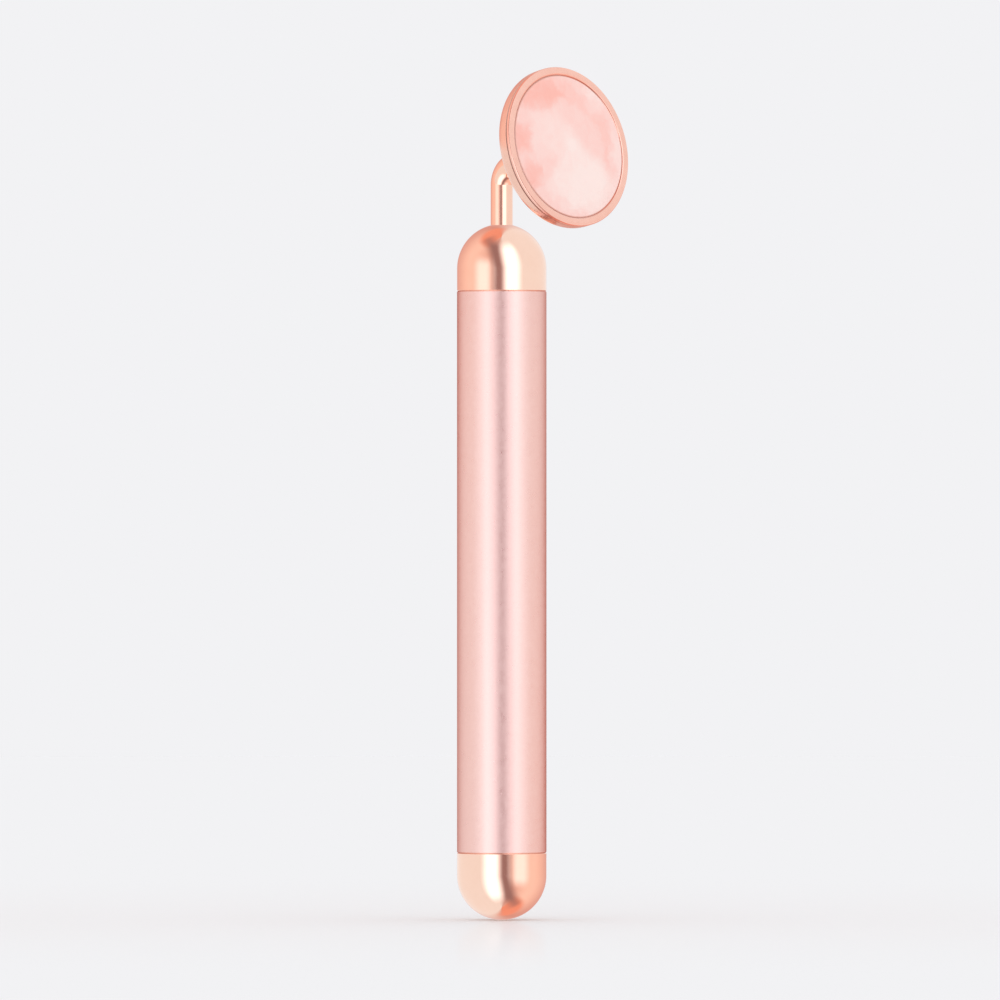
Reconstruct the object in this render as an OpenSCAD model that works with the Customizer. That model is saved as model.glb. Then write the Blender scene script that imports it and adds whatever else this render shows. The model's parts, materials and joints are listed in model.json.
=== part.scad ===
// Battery powered massager wand: a straight tube handle with two domed ends, a bent hollow neck
// and a tilted round head that holds a polished stone over a film heater.
// The lower dome is a screw cap. Fully tight it closes the circuit, a quarter turn back opens it,
// and three turns free it to change the cell. A motor with an eccentric weight shakes the handle.
// All sizes are in millimetres. The origin is the middle of the handle tube, on its axis.
// +Z runs along the handle to the head, and the head faces -Y.

/* [Handle] */
// Outside diameter of the handle tube and of both domes
tube_d = 17; // [16.8:0.1:18.4]
// Wall of the handle tube
tube_wall = 0.9; // [0.7:0.05:1]
// Bevel on the ends of the tube and on the rims of the domes
seam_bevel = 0.15; // [0.1:0.05:0.25]

/* [Domes] */
// Straight part of each dome, below its hemisphere
dome_skirt = 4.3; // [3.5:0.1:6]
// Wall of the straight part
skirt_wall = 1; // [0.8:0.1:1.1]
// Wall of the hemisphere
crown_wall = 1.6; // [1.4:0.1:2]

/* [Collars] */
// How far each collar reaches into the handle tube
collar_reach = 6; // [5.6:0.1:7]
// Wall of both collars inside the handle tube
collar_wall = 1.25; // [1.1:0.05:1.4]
// Thickness of the ring seal's round section
seal_d = 0.8; // [0.6:0.05:0.9]
// Distance from the seam to the middle of the ring seal
seal_offset = 1.6; // [1.4:0.1:2]
// Advance of the cap's screw thread in one turn
thread_pitch = 1; // [0.8:0.1:1.1]
// Turns that take the cap from tight to free
thread_turns = 3; // [2:0.5:3]

/* [Neck] */
// Outside diameter of the neck tube
neck_d = 4.2; // [3.6:0.1:4.6]
// Wall of the neck tube
neck_wall = 0.5; // [0.4:0.05:0.6]
// Radius of the neck's bend, at its centre line
neck_bend_r = 4; // [3.6:0.1:5]
// Height of the neck's corner above the upper dome, measured where the two straight runs would meet
neck_rise = 10.6; // [10:0.1:15]
// Distance from the handle axis to the middle of the head's front
neck_reach = 18.5; // [17:0.1:22]
// Length of the boss that steadies the neck inside the upper dome
neck_boss_len = 4; // [3:0.1:5]
// Wall of that boss
neck_boss_wall = 1.5; // [1.2:0.1:2]

/* [Head] */
// Outside diameter of the head
head_d = 30.8; // [29:0.1:34]
// Depth of the head from its front rim to its back
head_depth = 4.1; // [3.8:0.1:5]
// How far the head leans back from facing straight ahead, in degrees
head_tilt = 11.5; // [4:0.5:24]
// Radius that rounds the back of the cup
cup_back_r = 2.2; // [1.2:0.1:2.4]
// Side wall of the cup
cup_wall = 0.85; // [0.7:0.05:1]
// Floor of the cup
cup_floor = 0.9; // [0.7:0.05:1]
// Length of the socket that stands on the back of the cup and holds the neck
socket_len = 1.4; // [1:0.1:2.5]
// Wall of that socket
socket_wall = 0.8; // [0.6:0.1:1.2]
// Height of the bezel ring
bezel_h = 0.8; // [0.7:0.05:1]
// Width of the bezel ring's front face
bezel_face = 1.65; // [1.1:0.05:1.8]
// Thickness of the bezel's lip that traps the stone's edge
bezel_lip = 0.4; // [0.3:0.05:0.5]
// Rounding of the bezel's front edge
bezel_round = 0.35; // [0.2:0.05:0.4]
// Fine groove between the cup and the bezel ring
bezel_groove = 0.15; // [0.1:0.05:0.25]

/* [Stone and heater] */
// How far the stone's crown stands above the bezel
stone_crown = 0.5; // [0.3:0.1:1]
// Depth of the stone below the bezel's front face
stone_depth = 2; // [1.8:0.1:2.1]
// Width of the step in the stone's edge that the bezel covers
stone_step = 0.25; // [0.2:0.05:0.35]
// Thickness of the soft pad that carries the heat to the stone
heat_pad_t = 0.3; // [0.2:0.05:0.35]
// Thickness of the heater film
heater_t = 0.2; // [0.15:0.05:0.25]
// Turns of the heater's track
heater_turns = 6; // [4:1:7]
// Width of the heater's track
track_w = 0.7; // [0.5:0.1:0.9]

/* [Motor] */
// Clearance between the motor's rubber boot and the module frame
boot_fit = 0.08; // [0.05:0.01:0.15]
// Length of the motor can
motor_len = 14; // [12:0.5:15]
// Diameter of the motor shaft
shaft_d = 1.5; // [1.2:0.1:2]
// Height of the eccentric weight
weight_h = 5; // [4:0.5:6]
// Clearance between the eccentric weight and the module frame
weight_gap = 1.5; // [1:0.1:2]
// Wall of the rubber boot round the motor
boot_wall = 0.4; // [0.3:0.05:0.45]

/* [Electronics] */
// Outside diameter of the power and heater leads
lead_d = 0.7; // [0.5:0.05:0.8]
// Distance between the middles of the two leads
lead_pitch = 1; // [0.9:0.05:1.2]
// Thickness of the control board
board_t = 1; // [0.8:0.1:1.2]
// Width of the control board
board_w = 10; // [9:0.2:10.2]
// Height of the control board
board_h = 14; // [12:0.5:14.5]
// Room for the motor's leads between the control board and the motor
wire_room = 4.7; // [4.5:0.1:20]
// Wall of the module frame
frame_wall = 1; // [0.9:0.05:1.1]
// Thickness of the module frame's floor
frame_floor = 1.5; // [1.2:0.1:2]
// Thickness of the spring metal in the contacts
contact_t = 0.4; // [0.3:0.05:0.5]

/* [Cell] */
// Clearance between the AA cell and its sleeve
cell_fit = 0.25; // [0.2:0.05:0.45]
// Length of the AA cell, button included
cell_len = 50.5; // [49.5:0.1:50.5]
// Wall of the insulating sleeve round the cell
sleeve_wall = 0.2; // [0.15:0.05:0.25]
// Wire diameter of the tail spring
spring_wire = 0.7; // [0.5:0.05:0.8]
// Coils of the tail spring
spring_coils = 5; // [4:1:6]
// Clearance between the tail spring's foot and the ring round it
spring_foot_gap = 0.3; // [0.2:0.05:0.5]
// Narrowest diameter of the tail spring, at its tip
spring_tip_d = 6.4; // [5:0.1:8]

/* [Hidden] */
$fn = 96;

// Clearances: between pieces pushed together, between pieces that slide, and between pieces that turn
press_gap = 0.02;
slide_gap = 0.05;
turn_gap = 0.1;
// Overlap that a cutter needs to pass cleanly through a face
cut = 1;

// Small sizes in the stack along the handle
cell_gap = 0.8;
end_cap_h = 1.5;
nose_h = 1;
nose_gap = 0.6;
weight_clear = 0.6;

// The handle tube is as long as what is stacked inside it, from one collar's foot to the other's
cell_stack = cell_gap + cell_len + contact_t;
board_stack = frame_floor + board_h + wire_room;
motor_stack = end_cap_h + motor_len + nose_h + nose_gap + weight_h + weight_clear;
tube_len = 2 * collar_reach + cell_stack + board_stack + motor_stack;

// Radii and levels along the handle
tube_r = tube_d / 2;
bore_r = tube_r - tube_wall;
tube_top = tube_len / 2;
tube_bottom = -tube_top;
dome_h = dome_skirt + tube_r;
dome_pole = tube_top + dome_h;
skirt_bore_r = tube_r - skirt_wall;
crown_bore_r = tube_r - crown_wall;
collar_tube_r = bore_r - slide_gap;
collar_dome_r = skirt_bore_r - press_gap;
collar_bore_r = collar_tube_r - collar_wall;
top_collar_low = tube_top - collar_reach;
cap_collar_high = tube_bottom + collar_reach;

// Cap and tail contact
thread_travel = thread_pitch * thread_turns;
plate_t = 0.5;
plate_drop = 1.5;
plate_high = tube_bottom - plate_drop;
plate_low = plate_high - plate_t;
plate_r = collar_bore_r - turn_gap;
plate_ledge = 0.8;
plate_ledge_r = plate_r - plate_ledge;
clip_t = 0.4;
clip_low = plate_high + slide_gap;
clip_grip = 0.2;
clip_r = collar_bore_r + clip_grip;
clip_bore_r = plate_ledge_r + turn_gap;
clip_mouth = 40;

// Cell, from its flat end up. With the sizes above it is an AA cell, 14.2 across.
sleeve_r = bore_r - slide_gap;
sleeve_bore_r = sleeve_r - sleeve_wall;
cell_r = sleeve_bore_r - cell_fit;
cell_low = cap_collar_high + cell_gap;
cell_high = cell_low + cell_len;
button_h = 1.2;
button_r = 2.75;
shoulder_r = 0.6;
cell_shoulder = cell_high - button_h;

// Module frame
contact_high = cell_high + contact_t;
frame_r = bore_r - turn_gap;
frame_bore_r = frame_r - frame_wall;
floor_high = contact_high + frame_floor;
frame_top = top_collar_low;
lead_slot_w = lead_pitch + lead_d + 4 * slide_gap;
lead_channel_y = (frame_r + frame_bore_r) / 2;
board_edge = 0.22;
board_back = sqrt(pow(frame_bore_r - board_edge, 2) - board_w * board_w / 4);
board_front = board_back - board_t;
board_low = floor_high;
board_high = board_low + board_h;
chip_cap = 1.2;
chip_lift = 9.5;
contact_disc_r = 5;
contact_tab_w = 2;
contact_tab_rise = 2.4;
rail_w = 1.2;
rail_lip = 0.9;

// Motor, from the weight down. Its boot fills the frame.
boot_r = frame_bore_r - boot_fit;
motor_r = boot_r - boot_wall - press_gap;
weight_r = frame_bore_r - weight_gap;
can_wall = 0.4;
weight_high = frame_top - weight_clear;
weight_low = weight_high - weight_h;
nose_r = 2.2;
can_high = weight_low - nose_gap - nose_h;
can_low = can_high - motor_len;
end_cap_low = can_low - end_cap_h;
terminal_h = 1.6;
terminal_x = 3;
shaft_r = shaft_d / 2;
bush_r = 1.5;
boot_inset = 1;
ledge_h = 1;
ledge_r = motor_r - 1.2;
magnet_t = 0.9;
magnet_foot_gap = 2.5;
magnet_head_gap = 1.5;
air_gap = 0.25;
core_r = motor_r - can_wall - magnet_t - air_gap;
core_foot_gap = 4.5;
core_head_gap = 2.5;
shoe_t = 0.45;
hub_wall = 0.6;
arm_w = 1;
coil_t = 0.7;
coil_lip = 0.6;

// Neck and head, in the plane of the handle and the head
neck_r = neck_d / 2;
neck_bore_r = neck_r - neck_wall;
boss_low = dome_pole - crown_wall - neck_boss_len;
washer_h = 0.4;
nut_h = 1.8;
nut_d = neck_d + 2.6;
neck_foot = boss_low - washer_h - nut_h - 0.8;
neck_turn = 90 - head_tilt;
neck_lap = 0.02;
bend_setback = neck_bend_r * tan(neck_turn / 2);
corner_z = dome_pole + neck_rise;
head_z = corner_z + neck_reach * tan(head_tilt);
front_distance = neck_reach / cos(head_tilt);
socket_stop = head_depth - cup_floor + 0.3;
neck_rise_len = corner_z - bend_setback - neck_foot;
neck_run_len = front_distance - bend_setback - socket_stop;

// Head, measured from its front plane
head_r = head_d / 2;
cup_inner_r = head_r - cup_wall;
cup_inner_edge_r = cup_back_r - cup_floor + 0.2;
cup_floor_z = cup_floor - head_depth;
stone_r = head_r - bezel_face;
stone_girdle_r = stone_r + stone_step;
pad_r = stone_r - 0.8;
heater_low = -stone_depth - heat_pad_t - heater_t;
foam_r = cup_inner_r - cup_inner_edge_r - 0.3;
foam_hole_r = 2;
sensor_r = 0.8;
sensor_y = 6;

// Both leads start below the neck. One way they run up through the neck to the heater, and the
// other way they swing out to the frame's channel, go down it and turn in to the board.
lead_r = lead_d / 2;
lead_pad_h = 5;
lead_start_z = board_low + lead_pad_h;
lead_turn_r = 1.8;
lead_fork_z = neck_foot - 0.4;
lead_out = lead_channel_y - board_back - lead_turn_r;
lead_swing = 60;
lead_swing_r = 2.5;
lead_slant = (lead_channel_y - 2 * lead_swing_r * (1 - cos(lead_swing))) / sin(lead_swing);
lead_swing_h = 2 * lead_swing_r * sin(lead_swing) + lead_slant * cos(lead_swing);
lead_tail = 0.2;
lead_lap = 0.05;
lead_drop = lead_fork_z - lead_tail - lead_swing_h - lead_start_z - lead_turn_r;
lead_up_route = [
    [corner_z - bend_setback - lead_fork_z, neck_bend_r, neck_turn],
    [front_distance - bend_setback + heater_low, 0, 0]
];
lead_down_route = [
    [lead_tail, lead_swing_r, lead_swing],
    [lead_slant, lead_swing_r, -lead_swing],
    [lead_drop, lead_turn_r, -90],
    [lead_out, 0, 0]
];

// Tail spring
spring_low = plate_high;
spring_h = cell_low - plate_high;
spring_foot_r = clip_bore_r - spring_foot_gap;
spring_tip_r = spring_tip_d / 2;
spring_sides = 6;
spring_rings = 8;

// Colours of the finishes
ROSE_GOLD = [0.93, 0.68, 0.57];
PINK_METAL = [0.90, 0.70, 0.68];
STONE_PINK = [0.96, 0.78, 0.75];
STEEL = [0.75, 0.76, 0.78];
BRASS = [0.80, 0.65, 0.32];
COPPER = [0.78, 0.45, 0.28];
DARK_PLASTIC = [0.16, 0.16, 0.17];
PALE_PLASTIC = [0.86, 0.86, 0.83];
RUBBER = [0.12, 0.12, 0.12];
BOARD_GREEN = [0.10, 0.38, 0.22];

// ---------------------------------------------------------------------------------------------
// Shared shapes
// ---------------------------------------------------------------------------------------------

// A round disc or rod from level low to level high
module rod(r, low, high) {
    translate([0, 0, low])
        cylinder(r = r, h = high - low);
}

// A straight pipe from level low to level high
module pipe(outer_r, inner_r, low, high) {
    difference() {
        rod(outer_r, low, high);
        rod(inner_r, low - cut, high + cut);
    }
}

// A bevelled pipe whose outer edges are broken at either end
module bevelled_pipe(outer_r, inner_r, low, high, low_bevel, high_bevel) {
    rotate_extrude()
        polygon([
            [inner_r, low], [outer_r - low_bevel, low], [outer_r, low + low_bevel],
            [outer_r, high - high_bevel], [outer_r - high_bevel, high], [inner_r, high]
        ]);
}

// A sector of angle span, centred on +Y, that cuts rings into arcs
module sector(radius, low, high, span) {
    translate([0, 0, low])
        rotate([0, 0, 90 - span / 2])
            rotate_extrude(angle = span)
                square([radius, high - low]);
}

// A quarter-turn style bend of round stock: starts at the origin along +Z and turns toward -Y
module bend(r, bend_r, angle) {
    translate([0, -bend_r, 0])
        rotate([90, 0, 90])
            rotate_extrude(angle = angle)
                translate([bend_r, 0])
                    circle(r = r);
}

// Round stock along a route of [straight length, bend radius, bend angle] steps. A positive angle
// turns toward -Y and a negative one toward +Y. With a lap, each straight run reaches that far
// into the bends beside it, and the bends are slimmer by a fifth of the lap.
module bent_rod(route, r, lap = 0, step = 0) {
    if (step < len(route)) {
        length = route[step][0];
        bend_r = route[step][1];
        angle = route[step][2];
        side = angle < 0 ? -1 : 1;
        turn = abs(angle);
        low = step > 0 ? -lap : 0;
        high = turn > 0 ? length + lap : length;
        translate([0, 0, low])
            cylinder(r = r, h = high - low);
        translate([0, 0, length]) {
            if (turn > 0) {
                mirror([0, side < 0 ? 1 : 0, 0])
                    bend(r - lap / 5, bend_r, turn);
            }
            translate([0, -side * bend_r * (1 - cos(turn)), bend_r * sin(turn)])
                rotate([angle, 0, 0])
                    bent_rod(route, r, lap, step + 1);
        }
    }
}

// Moves into the head's own frame: its origin is the middle of the head's front plane, and its +Z
// points out of the head
module at_head() {
    translate([0, -neck_reach, head_z])
        rotate([90 - head_tilt, 0, 0])
            children();
}

// ---------------------------------------------------------------------------------------------
// Handle and domes
// ---------------------------------------------------------------------------------------------

module handle_tube() {
    color(PINK_METAL)
        bevelled_pipe(tube_r, bore_r, tube_bottom, tube_top, seam_bevel, seam_bevel);
}

// Half outline of a dome that stands on z = 0: a skirt with a broken rim, then a quarter circle
module dome_outline() {
    translate([0, seam_bevel])
        square([tube_r, dome_skirt - seam_bevel]);
    polygon([[0, 0], [tube_r - seam_bevel, 0], [tube_r, seam_bevel], [0, seam_bevel]]);
    translate([0, dome_skirt])
        intersection() {
            circle(r = tube_r);
            square(tube_r);
        }
}

// The dome's hollow: a straight seat for the collar, and a smaller hemisphere that leaves a ledge
module dome_hollow() {
    translate([0, -cut])
        square([skirt_bore_r, dome_skirt + cut]);
    translate([0, dome_skirt - cut])
        square([crown_bore_r, cut]);
    translate([0, dome_skirt])
        intersection() {
            circle(r = crown_bore_r);
            square(crown_bore_r);
        }
}

module dome_shell() {
    rotate_extrude()
        difference() {
            dome_outline();
            dome_hollow();
        }
}

module top_dome() {
    color(ROSE_GOLD)
        difference() {
            union() {
                translate([0, 0, tube_top])
                    dome_shell();
                rod(neck_r + neck_boss_wall, boss_low, dome_pole - crown_wall / 2);
            }
            rod(neck_r + press_gap, boss_low - cut, dome_pole + cut);
        }
}

// The upper collar joins the dome to the tube. Its slot lets the two leads pass inward.
module top_collar() {
    slot_high = tube_top - 0.6;
    color(BRASS)
        difference() {
            union() {
                rod(collar_tube_r, top_collar_low, tube_top);
                rod(collar_dome_r, tube_top - cut, tube_top + dome_skirt);
            }
            rod(collar_bore_r, top_collar_low - cut, tube_top + dome_skirt + cut);
            translate([-lead_slot_w / 2, 0, top_collar_low - cut])
                cube([lead_slot_w, tube_r, slot_high - top_collar_low + cut]);
        }
}

// ---------------------------------------------------------------------------------------------
// Neck
// ---------------------------------------------------------------------------------------------

module neck_tube() {
    route = [
        [neck_rise_len, neck_bend_r, neck_turn],
        [neck_run_len, 0, 0]
    ];
    bore_route = [
        [neck_rise_len + cut, neck_bend_r, neck_turn],
        [neck_run_len + cut, 0, 0]
    ];
    color(ROSE_GOLD)
        difference() {
            translate([0, 0, neck_foot])
                bent_rod(route, neck_r, neck_lap);
            translate([0, 0, neck_foot - cut])
                bent_rod(bore_route, neck_bore_r, neck_lap);
        }
}

module neck_washer() {
    color(STEEL)
        pipe(nut_d / 2, neck_r + slide_gap, boss_low - washer_h, boss_low);
}

module neck_nut() {
    nut_high = boss_low - washer_h;
    color(STEEL)
        difference() {
            translate([0, 0, nut_high - nut_h])
                cylinder(d = nut_d, h = nut_h, $fn = 6);
            rod(neck_r + press_gap, nut_high - nut_h - cut, nut_high + cut);
        }
}

// ---------------------------------------------------------------------------------------------
// Head
// ---------------------------------------------------------------------------------------------

// Half outline of a round pan: straight sides up to level high and a rounded edge at level low
module pan_outline(radius, low, high, edge_r) {
    translate([0, low])
        square([radius - edge_r, high - low]);
    translate([0, low + edge_r])
        square([radius, high - low - edge_r]);
    translate([radius - edge_r, low + edge_r])
        intersection() {
            circle(r = edge_r);
            translate([0, -edge_r])
                square(edge_r);
        }
}

module head_cup() {
    cup_rim = -bezel_h;
    color(ROSE_GOLD)
        at_head()
            difference() {
                union() {
                    rotate_extrude()
                        difference() {
                            pan_outline(head_r, -head_depth, cup_rim, cup_back_r);
                            polygon([
                                [head_r, cup_rim - bezel_groove],
                                [head_r - bezel_groove, cup_rim],
                                [head_r + cut, cup_rim + cut],
                                [head_r + cut, cup_rim - bezel_groove]
                            ]);
                        }
                    rod(neck_r + socket_wall, -head_depth - socket_len, -head_depth + cup_floor / 2);
                }
                rotate_extrude()
                    pan_outline(cup_inner_r, cup_floor_z, cup_rim + cut, cup_inner_edge_r);
                rod(neck_r + press_gap, -head_depth - socket_len - cut, -socket_stop);
                rod(neck_bore_r, -socket_stop - cut, 0);
            }
}

module bezel_ring() {
    inner_low_r = stone_girdle_r + slide_gap;
    inner_lip_r = stone_r + slide_gap;
    color(ROSE_GOLD)
        at_head()
            rotate_extrude()
                difference() {
                    union() {
                        translate([inner_lip_r, -bezel_h + bezel_groove])
                            square([head_r - inner_lip_r, bezel_h - bezel_groove - bezel_round]);
                        translate([inner_lip_r, -bezel_h])
                            square([head_r - bezel_groove - inner_lip_r, bezel_h]);
                        translate([head_r - bezel_round, -bezel_round])
                            circle(r = bezel_round);
                        translate([inner_lip_r, -bezel_round - slide_gap])
                            square([head_r - bezel_round - inner_lip_r, bezel_round + slide_gap]);
                    }
                    translate([0, -bezel_h - cut])
                        square([inner_low_r, bezel_h - bezel_lip + cut]);
                    translate([head_r - bezel_round, -bezel_round])
                        difference() {
                            square(2 * bezel_round);
                            circle(r = bezel_round);
                        }
                    polygon([
                        [inner_lip_r - slide_gap, slide_gap],
                        [inner_lip_r - slide_gap, -bezel_lip / 2],
                        [inner_lip_r, -bezel_lip / 2],
                        [inner_lip_r + bezel_lip / 2, 0],
                        [inner_lip_r + bezel_lip / 2, slide_gap]
                    ]);
                }
}

// The polished stone: a stepped disc whose crown is a shallow slice of a large sphere
module stone_disc() {
    edge_z = -0.1;
    crown_h = stone_crown - edge_z;
    crown_r = (stone_r * stone_r + crown_h * crown_h) / (2 * crown_h);
    color(STONE_PINK)
        at_head()
            rotate_extrude() {
                intersection() {
                    translate([0, -stone_depth])
                        square([stone_r, stone_depth + stone_crown + cut]);
                    translate([0, stone_crown - crown_r])
                        circle(r = crown_r, $fn = 1440);
                }
                translate([0, -stone_depth])
                    square([stone_girdle_r, stone_depth - bezel_lip - slide_gap]);
            }
}

module heat_pad() {
    color(PALE_PLASTIC)
        at_head()
            rod(pad_r, -stone_depth - heat_pad_t, -stone_depth);
}

// Film heater: a thin disc with a ring track on its back, broken where the loops turn
module heater_film() {
    film_high = -stone_depth - heat_pad_t;
    track_t = heater_t / 2;
    track_step = (pad_r - foam_hole_r - 1) / heater_turns;
    color(COPPER)
        at_head() {
            rod(pad_r, heater_low + track_t, film_high);
            for (turn = [0:heater_turns - 1]) {
                middle_r = foam_hole_r + 1 + (turn + 0.5) * track_step;
                rotate([0, 0, turn % 2 == 0 ? 92 : 268])
                    rotate_extrude(angle = 350)
                        translate([middle_r - track_w / 2, heater_low])
                            square([track_w, track_t + track_t / 2]);
            }
            rod(foam_hole_r - 0.2, heater_low, film_high);
        }
}

// Soft disc that presses the heater forward, with room for the lead ends and the sensor
module foam_disc() {
    color(DARK_PLASTIC)
        at_head()
            difference() {
                rod(foam_r, cup_floor_z, heater_low);
                rod(foam_hole_r, cup_floor_z - cut, heater_low + cut);
                translate([0, sensor_y, 0])
                    rod(sensor_r + turn_gap, cup_floor_z - cut, heater_low + cut);
            }
}

module heat_sensor() {
    sensor_h = heater_low - cup_floor_z;
    color(BRASS)
        at_head()
            translate([0, sensor_y, 0])
                rod(sensor_r, heater_low - 0.9 * sensor_h, heater_low);
}

// ---------------------------------------------------------------------------------------------
// Leads
// ---------------------------------------------------------------------------------------------

module lead(side) {
    translate([side * lead_pitch / 2, 0, lead_fork_z]) {
        bent_rod(lead_up_route, lead_r, lead_lap);
        rotate([180, 0, 0])
            bent_rod(lead_down_route, lead_r, lead_lap);
    }
}

module lead_left() {
    color("firebrick")
        lead(-1);
}

module lead_right() {
    color("black")
        lead(1);
}

// ---------------------------------------------------------------------------------------------
// Module frame and electronics
// ---------------------------------------------------------------------------------------------

// Half outline of the frame before its windows are cut: a floor, a wall and the motor's ledge
module frame_outline() {
    ledge_low = end_cap_low - ledge_h;
    translate([0, contact_high])
        square([frame_r, frame_floor]);
    translate([frame_bore_r, contact_high])
        square([frame_wall, frame_top - contact_high]);
    translate([ledge_r, ledge_low])
        square([frame_r - ledge_r, ledge_h]);
}

// Opening through the front wall between two levels
module frame_window(low, high) {
    sill = 1.4;
    translate([-frame_r - cut, -frame_r - cut, low])
        cube([2 * (frame_r + cut), frame_r + cut - sill, high - low]);
}

// Rail that stands on the floor and holds one edge of the control board
module board_rail() {
    rail_h = board_h * 0.7;
    outer_x = frame_bore_r * cos(asin(board_back / frame_bore_r)) + frame_wall / 2;
    for (y = [board_front - slide_gap - rail_lip, board_back + slide_gap]) {
        translate([board_w / 2 - rail_w, y, floor_high - frame_floor / 2])
            cube([outer_x - board_w / 2 + rail_w - (y > board_back ? rail_lip : 0), rail_lip, rail_h]);
    }
}

module module_frame() {
    clamp_h = 2.5;
    clamp_low = can_low + boot_inset;
    clamp_high = can_high - boot_inset - clamp_h;
    slot_low = lead_start_z - 2 * lead_d;
    color(DARK_PLASTIC)
        difference() {
            union() {
                rotate_extrude()
                    frame_outline();
                board_rail();
                mirror([1, 0, 0])
                    board_rail();
            }
            frame_window(floor_high, end_cap_low - ledge_h);
            frame_window(clamp_low + clamp_h, clamp_high);
            frame_window(can_high, frame_top - clamp_h);
            translate([-lead_slot_w / 2, frame_bore_r - 0.2, slot_low])
                cube([lead_slot_w, tube_r, frame_top - slot_low + cut]);
            translate([-1.4, board_front - 1.2, contact_high - cut])
                cube([2.8, 1.2, frame_floor + 2 * cut]);
        }
}

module control_board() {
    color(BOARD_GREEN)
        translate([-board_w / 2, board_front, board_low])
            cube([board_w, board_t, board_h]);
}

// Eight-legged chip on the front of the board
module driver_chip() {
    chip = [3.9, 1.5, 4.9];
    leg = [1, 0.9, 0.4];
    leg_pitch = 1.27;
    color(DARK_PLASTIC)
        translate([0, board_front, board_low + chip_lift]) {
            translate([-chip.x / 2, -chip.y, -chip.z / 2])
                cube([chip.x, chip.y - 0.1, chip.z]);
            for (side = [-1, 1], row = [-1.5:1:1.5]) {
                translate([side * (chip.x / 2 + leg.x / 2 - 0.2) - leg.x / 2, -leg.y, row * leg_pitch - leg.z / 2])
                    cube(leg);
            }
        }
}

// Shielded coil that raises the cell's voltage for the heater
module boost_coil() {
    body = 3.6;
    height = 2.4;
    color(RUBBER)
        translate([1.9, board_front, board_low + 4.5])
            rotate([90, 0, 0])
                difference() {
                    intersection() {
                        translate([-body / 2, -body / 2, 0])
                            cube([body, body, height]);
                        rotate([0, 0, 45])
                            translate([-body * 0.62, -body * 0.62, 0])
                                cube([body * 1.24, body * 1.24, height]);
                    }
                    pipe(1.6, 1.2, height - 0.4, height + cut);
                }
}

module capacitors() {
    color(BRASS)
        for (x = [-3.1, -1.7], z = [2.2, 5]) {
            translate([x - chip_cap / 2, board_front - chip_cap, board_low + z])
                cube([chip_cap, chip_cap, 2]);
        }
}

// Leaf that grounds the board on the bare inside of the handle tube
module ground_clip() {
    leaf_w = 3;
    foot_z = board_high - 1.8;
    reach = sqrt(bore_r * bore_r - leaf_w * leaf_w / 4) - slide_gap;
    rise = 5;
    bow = 1.1;
    color(BRASS)
        rotate([90, 0, 90])
            translate([0, 0, -leaf_w / 2])
                linear_extrude(leaf_w)
                    union() {
                        translate([board_front - contact_t, foot_z])
                            square([contact_t, 1.6]);
                        translate([bow - reach, foot_z])
                            square([board_front + reach - bow, contact_t]);
                        polygon([
                            [bow - reach, foot_z], [bow - reach + contact_t, foot_z],
                            [contact_t - reach, foot_z + rise / 2],
                            [bow - reach + contact_t, foot_z + rise],
                            [bow - reach, foot_z + rise],
                            [-reach, foot_z + rise / 2]
                        ]);
                    }
}

// Disc that meets the cell's button, with a tab that rises through the floor to the board
module positive_contact() {
    color(BRASS) {
        rod(contact_disc_r, cell_high, contact_high);
        translate([-contact_tab_w / 2, board_front - slide_gap - contact_t, cell_high])
            cube([contact_tab_w, contact_t, floor_high - cell_high + contact_tab_rise]);
    }
}

// ---------------------------------------------------------------------------------------------
// Motor
// ---------------------------------------------------------------------------------------------

module motor_can() {
    color(STEEL)
        rotate_extrude()
            difference() {
                union() {
                    translate([0, can_low])
                        square([motor_r, motor_len]);
                    translate([0, can_high])
                        square([nose_r, nose_h]);
                }
                translate([0, can_low - cut])
                    square([motor_r - can_wall, motor_len - can_wall + cut]);
                translate([0, can_high - cut])
                    square([bush_r + press_gap, nose_h + 2 * cut]);
            }
}

// Two curved magnets on the inside of the can
module motor_magnets() {
    outer_r = motor_r - can_wall - press_gap;
    magnet_span = 130;
    color("dimgray")
        for (side = [0, 180]) {
            rotate([0, 0, side + 90 - magnet_span / 2])
                rotate_extrude(angle = magnet_span)
                    translate([outer_r - magnet_t, can_low + magnet_foot_gap])
                        square([magnet_t, motor_len - magnet_foot_gap - magnet_head_gap]);
        }
}

module motor_bush() {
    color(BRASS)
        pipe(bush_r, shaft_r + slide_gap / 2, can_high - can_wall - 0.6, can_high + nose_h);
}

// Plastic end of the motor, with its own bearing hole and slots for the terminals
module motor_end_cap() {
    plug_r = motor_r - can_wall - slide_gap;
    hub_r = shaft_r + 1.2;
    color(PALE_PLASTIC)
        difference() {
            union() {
                rod(motor_r, end_cap_low, can_low);
                rod(plug_r, can_low - 0.1, can_low + 0.8);
            }
            rod(shaft_r + slide_gap / 2, end_cap_low + 0.5, can_low + cut);
            pipe(plug_r - 0.8, hub_r, can_low, can_low + cut);
            for (side = [-1, 1]) {
                translate([side * terminal_x - 0.25, -0.85, end_cap_low - cut])
                    cube([0.5, 1.7, end_cap_h + 2 * cut]);
            }
        }
}

// Two brushes whose tails come out of the end cap as solder tabs
module motor_terminals() {
    brush_x = shaft_r + 0.9;
    color(BRASS)
        for (side = [0, 1]) {
            mirror([side, 0, 0]) {
                translate([terminal_x - 0.2, -0.8, end_cap_low - terminal_h])
                    cube([0.4, 1.6, end_cap_h + terminal_h + 1.2]);
                translate([brush_x, -0.8, can_low + 0.9])
                    cube([terminal_x - brush_x + 0.1, 1.6, 0.3]);
            }
        }
}

module motor_boot() {
    color(RUBBER)
        pipe(boot_r, motor_r + press_gap, can_low, can_high - boot_inset / 2);
}

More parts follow.
